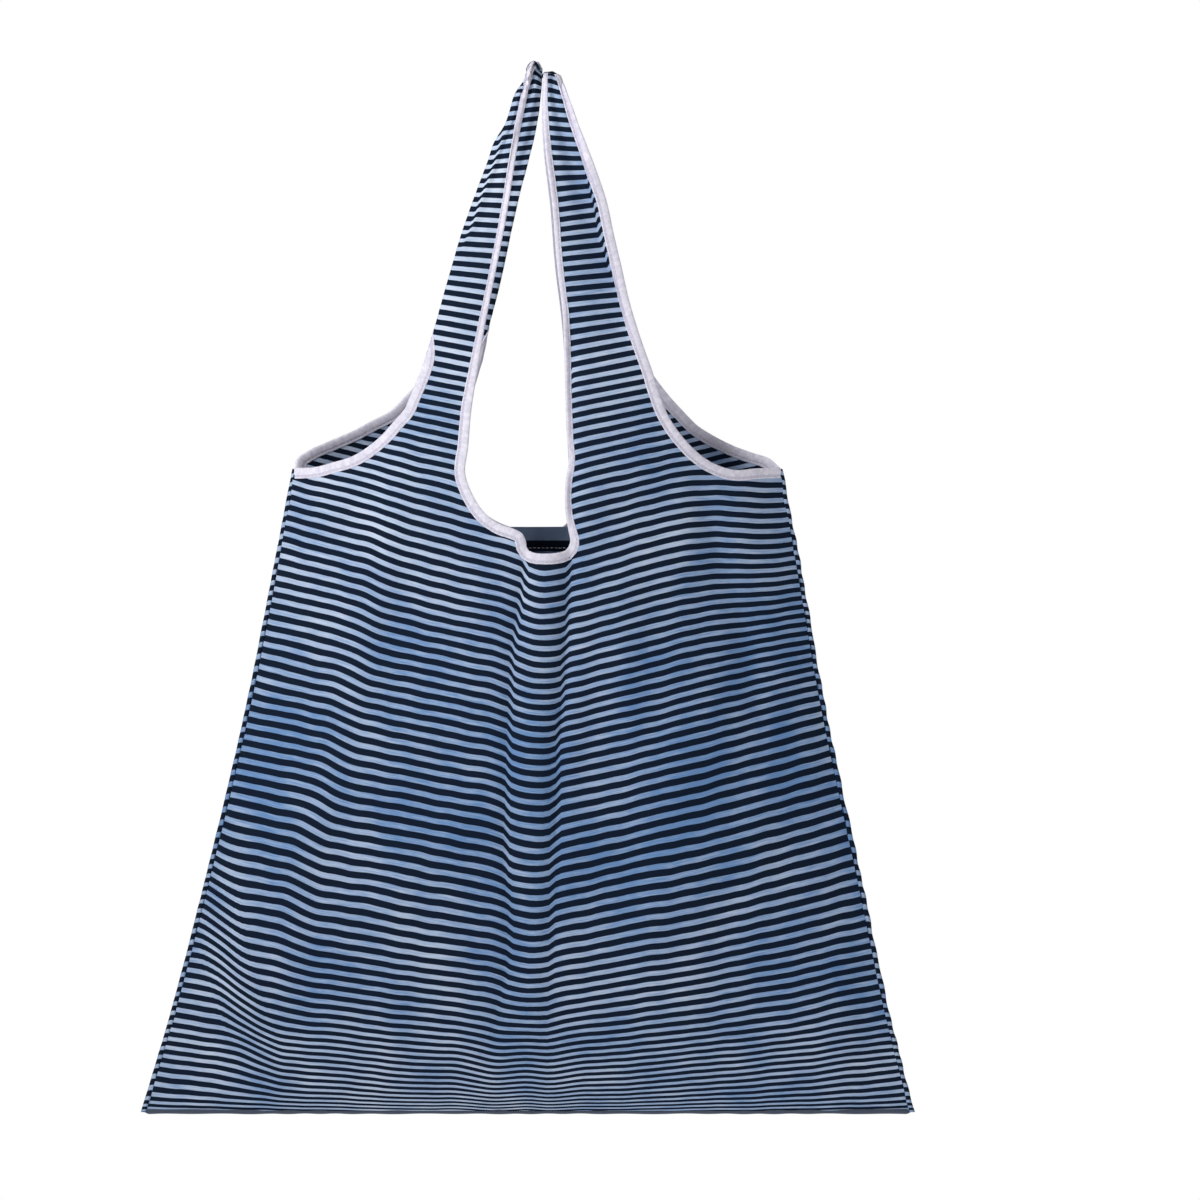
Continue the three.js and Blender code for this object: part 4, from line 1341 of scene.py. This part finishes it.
def make_bottom_seam():
    """The overlocked seam along the bottom edge, with its two layers a little apart in places."""
    x = np.linspace(*outline(BOTTOM), 420)
    sway = np.sin(x / 4.3 + 1.9 * np.sin(x / 23)) + 0.5 * np.sin(x / 13)
    ends = np.minimum(ramp(x, x[0], x[0] + 4), ramp(-x, -x[-1], -x[-1] + 4)) * 0.8 + 0.2
    line = np.stack([x, 0.4 * sway, BOTTOM + 1.1 + 0.15 * sway], axis=1)
    wide = (BOTTOM_ROLL[0] + 0.3 * sway) * ends
    rings = roll_rings(line, Y_WAY, Z_WAY, wide, BOTTOM_ROLL[1] * ends)
    return make_roll("bottom_seam_overlock", rings, x[:, None], 4 * ROLL_TURN, OVERLOCK)


def make_shoulder_seam(hand):
    """The patch over the hook where a pair of straps meets: layered cloth and two rows of stitches."""
    top = CROWN_BEND[hand] + CROWN_RADIUS
    ends = [follow(edge[-1, hand], CROWN_BEND[hand] + CROWN_TURN) for edge in (OUTER_EDGE, INNER_EDGE)]
    x = np.linspace(min(ends) - 0.6, max(ends) + 0.6 + 2.2 * (hand < 0), 22)[:, None]
    y = np.linspace(-SHOULDER_REACH, SHOULDER_REACH, 16)[None]
    x, y = np.broadcast_arrays(x, y)
    fall = 1.3 * (y / SHOULDER_REACH) ** 4
    gather = 0.40 * np.sin(2 * np.pi * (x - x.min()) / 5.2) * (0.4 + 0.6 * (y / SHOULDER_REACH) ** 2)
    edges = np.minimum(x - x.min(), x.max() - x)
    z = top + 0.7 - crown_fall(hand, x) - fall + gather - 0.9 * np.exp(-edges / 0.8)
    grid = np.stack([x, y, z], axis=-1)
    out = normals_of(grid) * np.sign(normals_of(grid)[..., 2:].mean())
    face = grid + out * 0.65
    rows = [(*stitch_parts(face[1:-1, k], out[1:-1, k]), 1) for k in (4, 11)]
    cloth = sheet_parts(grid, np.stack([x, y + 2.0], axis=-1), 1.3)
    name = f"{HAND_NAMES[hand]}_shoulder_seam_patch"
    return join_parts(name, [(*cloth, 0), *rows], [STRIPED, WHITE_THREAD])


side_seams = {hand: make_side_seam(hand) for hand in (-1, 1)}
bottom_seam = make_bottom_seam()
shoulder_seams = {hand: make_shoulder_seam(hand) for hand in (-1, 1)}
print("seams:", len(side_seams) + len(shoulder_seams) + 1)

# %% [markdown]
# ## The pouch
#
# The whole bag folds into a small flat pouch that is sewn inside the back panel, just under the neck.
# Its two walls are open at the top, sewn together at the other three edges, and puff apart between.
# The mouth has a deep folded hem, and it shows through the front neck as a slate band over a dark one.

# %% Pouch
POUCH_SIDES = (-89.0, 63.0)
POUCH_HEIGHTS = (-438.0, -300.0)
POUCH_INSETS = {"back": 7.4, "front": 18.4}
POUCH_MIDDLE = 12.9
HEM_HEIGHT = 15.4
HEM_SLATE = (0.26, 0.35, 0.52, 1)
HEM_SLATE_LIGHT = (0.32, 0.42, 0.60, 1)
POUCH_CLOTH = striped_finish("pouch_cloth", (0.26, 0.37, 0.60, 1), (0.36, 0.47, 0.68, 1))


def pouch_place(x, z, inset):
    """A point of a pouch wall: a distance inside the back panel, which eases to the seam at sewn edges."""
    x, z = np.broadcast_arrays(np.asarray(x, float), np.asarray(z, float))
    edge = np.minimum(np.minimum(x - POUCH_SIDES[0], POUCH_SIDES[1] - x), z - POUCH_HEIGHTS[0])
    free = ramp(edge, 0, 15)
    wrinkle = 0.55 * ripple(1, x, z, 2.4) + 0.35 * np.sin(x / 3.6 + np.sin(z / 9)) * np.exp(-edge / 7)
    depth = POUCH_MIDDLE + (inset - POUCH_MIDDLE) * (0.12 + 0.88 * free) + wrinkle * free
    return np.stack([x, half_depth(x, z) - depth, z], axis=-1)


def make_pouch_wall(name, inset, top):
    """A wall of the pouch, with its own stripes running level."""
    x = np.linspace(*POUCH_SIDES, 110)[:, None]
    z = np.linspace(POUCH_HEIGHTS[0], top, 100)[None]
    grid = pouch_place(x, z, inset)
    wide = np.broadcast_to(x, grid.shape[:2])
    v = np.broadcast_to(z, grid.shape[:2]) + 0.035 * wide
    return make_sheet(name, grid, np.stack([wide, v], axis=-1), POUCH_CLOTH)


def hem_finish():
    """The folded hem: a slate stripe above and a navy one below."""
    hem = Finish("mouth_hem", Roughness=0.85, Specular_IOR_Level=0.12, Sheen_Weight=0.05)
    u, v = hem.cloth_place()
    yarn = hem.noise(u * 60, v * (1 / YARN), 2.0, 0.6)
    dark = (v + hem.noise(u * 160, v * 160) * 0.0003).within(0.0066, 0.0070)
    slate = hem.mix(yarn, HEM_SLATE, HEM_SLATE_LIGHT)
    hem.colour(hem.mix(dark, slate, NAVY))
    hem.relief(woven(u, v) * 0.35 + yarn * 0.5, WEAVE_DEPTH)
    return hem.material


def make_hem():
    """The hem round the pouch's mouth, double, with a soft folded top edge."""
    x = np.linspace(*POUCH_SIDES, 110)[:, None]
    z = np.linspace(POUCH_HEIGHTS[1] - HEM_HEIGHT, POUCH_HEIGHTS[1], 14)[None]
    grid = pouch_place(x, z, POUCH_INSETS["front"] + 0.2)
    wide, high = np.broadcast_arrays(x, z - z.min())
    return make_sheet("pouch_hem_fold", grid, np.stack([wide, high], axis=-1), hem_finish(), 1.5)


def make_pouch_edge():
    """The overlocked seam down both sides and along the bottom of the pouch, with rounded corners."""
    left, right = POUCH_SIDES[0] - 0.6, POUCH_SIDES[1] + 0.6
    low, high = POUCH_HEIGHTS[0] - 0.6, POUCH_HEIGHTS[1]
    half = [[left, high], [left, -370], [left, low + 6], [left + 1.8, low + 1.8], [left + 6, low]]
    mirrored = [[left + right - x, z] for x, z in reversed(half)]
    path = spaced_path([*half, [(left + right) / 2, low], *mirrored], 1.6)
    outward = inward(path)
    y = half_depth(path[:, 0], path[:, 1]) - POUCH_MIDDLE
    line = np.stack([path[:, 0], y, path[:, 1]], axis=1)
    along = length_along(path)
    wave = 1 + 0.12 * np.sin(along / 2.1)
    flatwise = np.stack([outward[:, 0], 0 * y, outward[:, 1]], axis=1)
    rings = roll_rings(line, flatwise[:, None], Y_WAY, 1.5 * wave, 2.6 * wave)
    return make_roll("pouch_edge_overlock", rings, along[:, None], 3 * ROLL_TURN, OVERLOCK)


def make_attachment():
    """The strip that holds the pouch to the back panel: folded cloth between the two, sewn through."""
    x = np.linspace(-62, 36, 70)[:, None]
    z = np.linspace(-309, -302, 8)[None]
    x, z = np.broadcast_arrays(x, z)
    grid = np.stack([x, half_depth(x, z) - 4.4, z], axis=-1)
    out = normals_of(grid) * np.sign(-normals_of(grid)[..., 1:2].mean())
    rows = [(*stitch_parts(grid[:, k] + out[:, k] * 0.95, out[:, k]), 1) for k in (2, 5)]
    cloth = sheet_parts(grid, np.stack([x, z], axis=-1), 1.9)
    return join_parts("pouch_attachment_strip", [(*cloth, 0), *rows], [POUCH_CLOTH, WHITE_THREAD])


def make_pouch_stitches():
    """Rows of stitches on the pouch's front wall: under the hem, and a little above the bottom seam."""
    x = np.linspace(POUCH_SIDES[0] + 4, POUCH_SIDES[1] - 4, 160)
    parts = []
    for z, lift in ((POUCH_HEIGHTS[1] - HEM_HEIGHT + 1.6, 1.0), (POUCH_HEIGHTS[0] + 22, 0.25)):
        line = pouch_place(x, np.full(x.shape, z), POUCH_INSETS["front"] + 0.1 + lift)
        out = np.tile([0.0, -1.0, 0.0], (len(x), 1))
        parts.append((*stitch_parts(line, out), 0))
    return join_parts("pouch_stitch_rows", parts, [WHITE_THREAD])


pouch_back = make_pouch_wall("pouch_back_cloth", POUCH_INSETS["back"], POUCH_HEIGHTS[1])
pouch_front = make_pouch_wall("pouch_front_cloth", POUCH_INSETS["front"], POUCH_HEIGHTS[1] - 3)
pouch_hem = make_hem()
pouch_edge = make_pouch_edge()
attachment = make_attachment()
pouch_stitches = make_pouch_stitches()
print("pouch:", [round(high - low) for low, high in (POUCH_SIDES, POUCH_HEIGHTS)], "mm")

# %% [markdown]
# ## The ribbon loop
#
# A short black ribbon is folded in two and sewn to the hem at the pouch's right-hand end. It hangs in
# a drop shape, because a ribbon doesn't take a sharp fold.

# %% Ribbon loop
LOOP_SIDES = (49.0, 61.0)
LOOP_TOP = -302.5
# Distance in front of the hem's face, and height, along the ribbon from one sewn end to the other.
LOOP_LINE = [[0.7, 0.0], [1.2, -5], [1.6, -12], [1.9, -17], [3.4, -20.4], [5.6, -21.4], [7.8, -20.2],
             [8.7, -17],
             [8.0, -12], [4.9, -5.5], [1.9, 0.0]]


def make_loop():
    """The ribbon along its drop-shaped line, as wide as it is at the seam all the way round."""
    path = spaced_path(LOOP_LINE, 0.6)
    x = np.linspace(*LOOP_SIDES, 15)[None]
    along = length_along(path)
    z = LOOP_TOP + path[:, 1:2] + 0.25 * np.sin(x / 2.5)
    y = half_depth(55, LOOP_TOP) - POUCH_INSETS["front"] - 0.9 - path[:, :1] + 0 * x
    grid = np.stack(np.broadcast_arrays(x, y, z), axis=-1)
    flat = np.stack(np.broadcast_arrays(x, along[:, None]), axis=-1)
    return make_sheet("hanging_loop_ribbon", grid, flat, RIBBON, 0.8), along[-1]


loop, loop_length = make_loop()
print("loop:", round(loop_length), "mm of ribbon")

# %% [markdown]
# ## Joining the frame
#
# Most pieces move with a body of the engineering model. Straps and their tapes cross a joint, and
# they stay where they are made, moving with no body. Each piece hides the engineering solids it
# stands for.


def bind(piece, body, slot, *nodes):
    """A piece that stands for some solids, which are hidden, and moves with a body. The slot is not used.
    Given a hand for a body, it stays where it is made and moves with no body."""
    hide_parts(*nodes)
    if body not in HAND_NAMES:
        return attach(piece, body)
    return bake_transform(piece)


bind(front_panel, "bag", "striped_cloth", "front_panel")
bind(back_panel, "bag", "striped_cloth", "back_panel")
bind(bottom_seam, "bag", "seam_thread", "bottom_seam")
bind(attachment, "bag", "pouch_cloth", "pouch_attachment_seam")
for s, front in SIDE_NAMES.items():
    bind(tapes[s, "neck"], "bag", "binding_tape", f"{front}_neck_binding")
    for h, left in HAND_NAMES.items():
        bind(tapes[s, f"{left}_armhole"], "bag", "binding_tape", f"{front}_{left}_armhole_binding")
        bind(straps[s, h], h, "striped_cloth", f"{front}_{left}_strap")
        for kind in ("outer", "inner"):
            bind(tapes[s, f"{left}_{kind}"], h, "binding_tape", f"{front}_{left}_{kind}_binding")
for h, left in HAND_NAMES.items():
    bind(side_seams[h], "bag", "striped_cloth", f"{left}_side_seam")
    bind(shoulder_seams[h], f"{left}_handle", "striped_cloth", f"{left}_shoulder_seam")
bind(pouch_back, "pouch", "pouch_cloth", "pouch_back_wall")
bind(pouch_front, "pouch", "pouch_cloth", "pouch_front_wall")
bind(pouch_hem, "pouch", "pouch_cloth", "pouch_mouth_hem")
bind(pouch_edge, "pouch", "seam_thread", "pouch_edge_seam")
bind(pouch_stitches, "pouch", "binding_tape")
bind(loop, "loop", "black_ribbon", "hanging_loop")
print("pieces:", len(tapes) + len(straps) + 12)

# %% [markdown]
# ## Cloth sizes
#
# Each cloth's flat size, as it was cut, is printed. A panel or a strap isn't a rectangle, so the area
# of its cut is printed along with its width and length.

# %% Sheets
POUCH_CUT = (0.152, 0.138)
LOOP_WIDTH = 0.012


def cut_size(piece):
    """A shaped cloth's cut in its flat map: the sides of the rectangle round it, in metres, and its
    area. A face with corners (x, y) has the area |sum of x1 * y2 - x2 * y1| / 2, and the cloth's two
    layers count once."""
    layer = piece.data.uv_layers["flat"]
    places = np.empty(len(layer.data) * 2)
    layer.data.foreach_get("uv", places)
    corners = places.reshape(-1, 4, 2)
    following = np.roll(corners, -1, axis=1)
    cross = corners[..., 0] * following[..., 1] - following[..., 0] * corners[..., 1]
    width, length = np.ptp(places.reshape(-1, 2), axis=0)
    return float(width), float(length), float(np.abs(cross.sum(axis=1)).sum()) / 4


def declare(piece, with_pieces, sides=None):
    """Print a cloth's size: a rectangle with the given sides in metres, or a shaped cut from the flat map.
    """
    area = None
    if sides is None:
        *sides, area = cut_size(piece)
    print(piece.name, [round(side * 1000) for side in sides], "mm", area and round(area, 5))


panel_extras = {-1: [*side_seams.values(), bottom_seam], 1: [attachment]}
for s, panel in {-1: front_panel, 1: back_panel}.items():
    edges = [tapes[s, kind] for kind in ("neck", "left_armhole", "right_armhole")]
    declare(panel, edges + panel_extras[s])
for (s, h), strap in straps.items():
    edges = [tapes[s, f"{HAND_NAMES[h]}_{kind}"] for kind in ("outer", "inner")]
    declare(strap, edges + [shoulder_seams[h]] * (s < 0))
declare(pouch_back, [pouch_edge], POUCH_CUT)
declare(pouch_front, [pouch_hem, pouch_stitches], POUCH_CUT)
declare(loop, [], (LOOP_WIDTH, loop_length * MM))

# %% Sizes
low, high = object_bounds()
visual_size, cad_size = ([round(x * 1000) for x in span] for span in (high - low, cad_high - cad_low))
print("size:", visual_size, "mm against", cad_size)
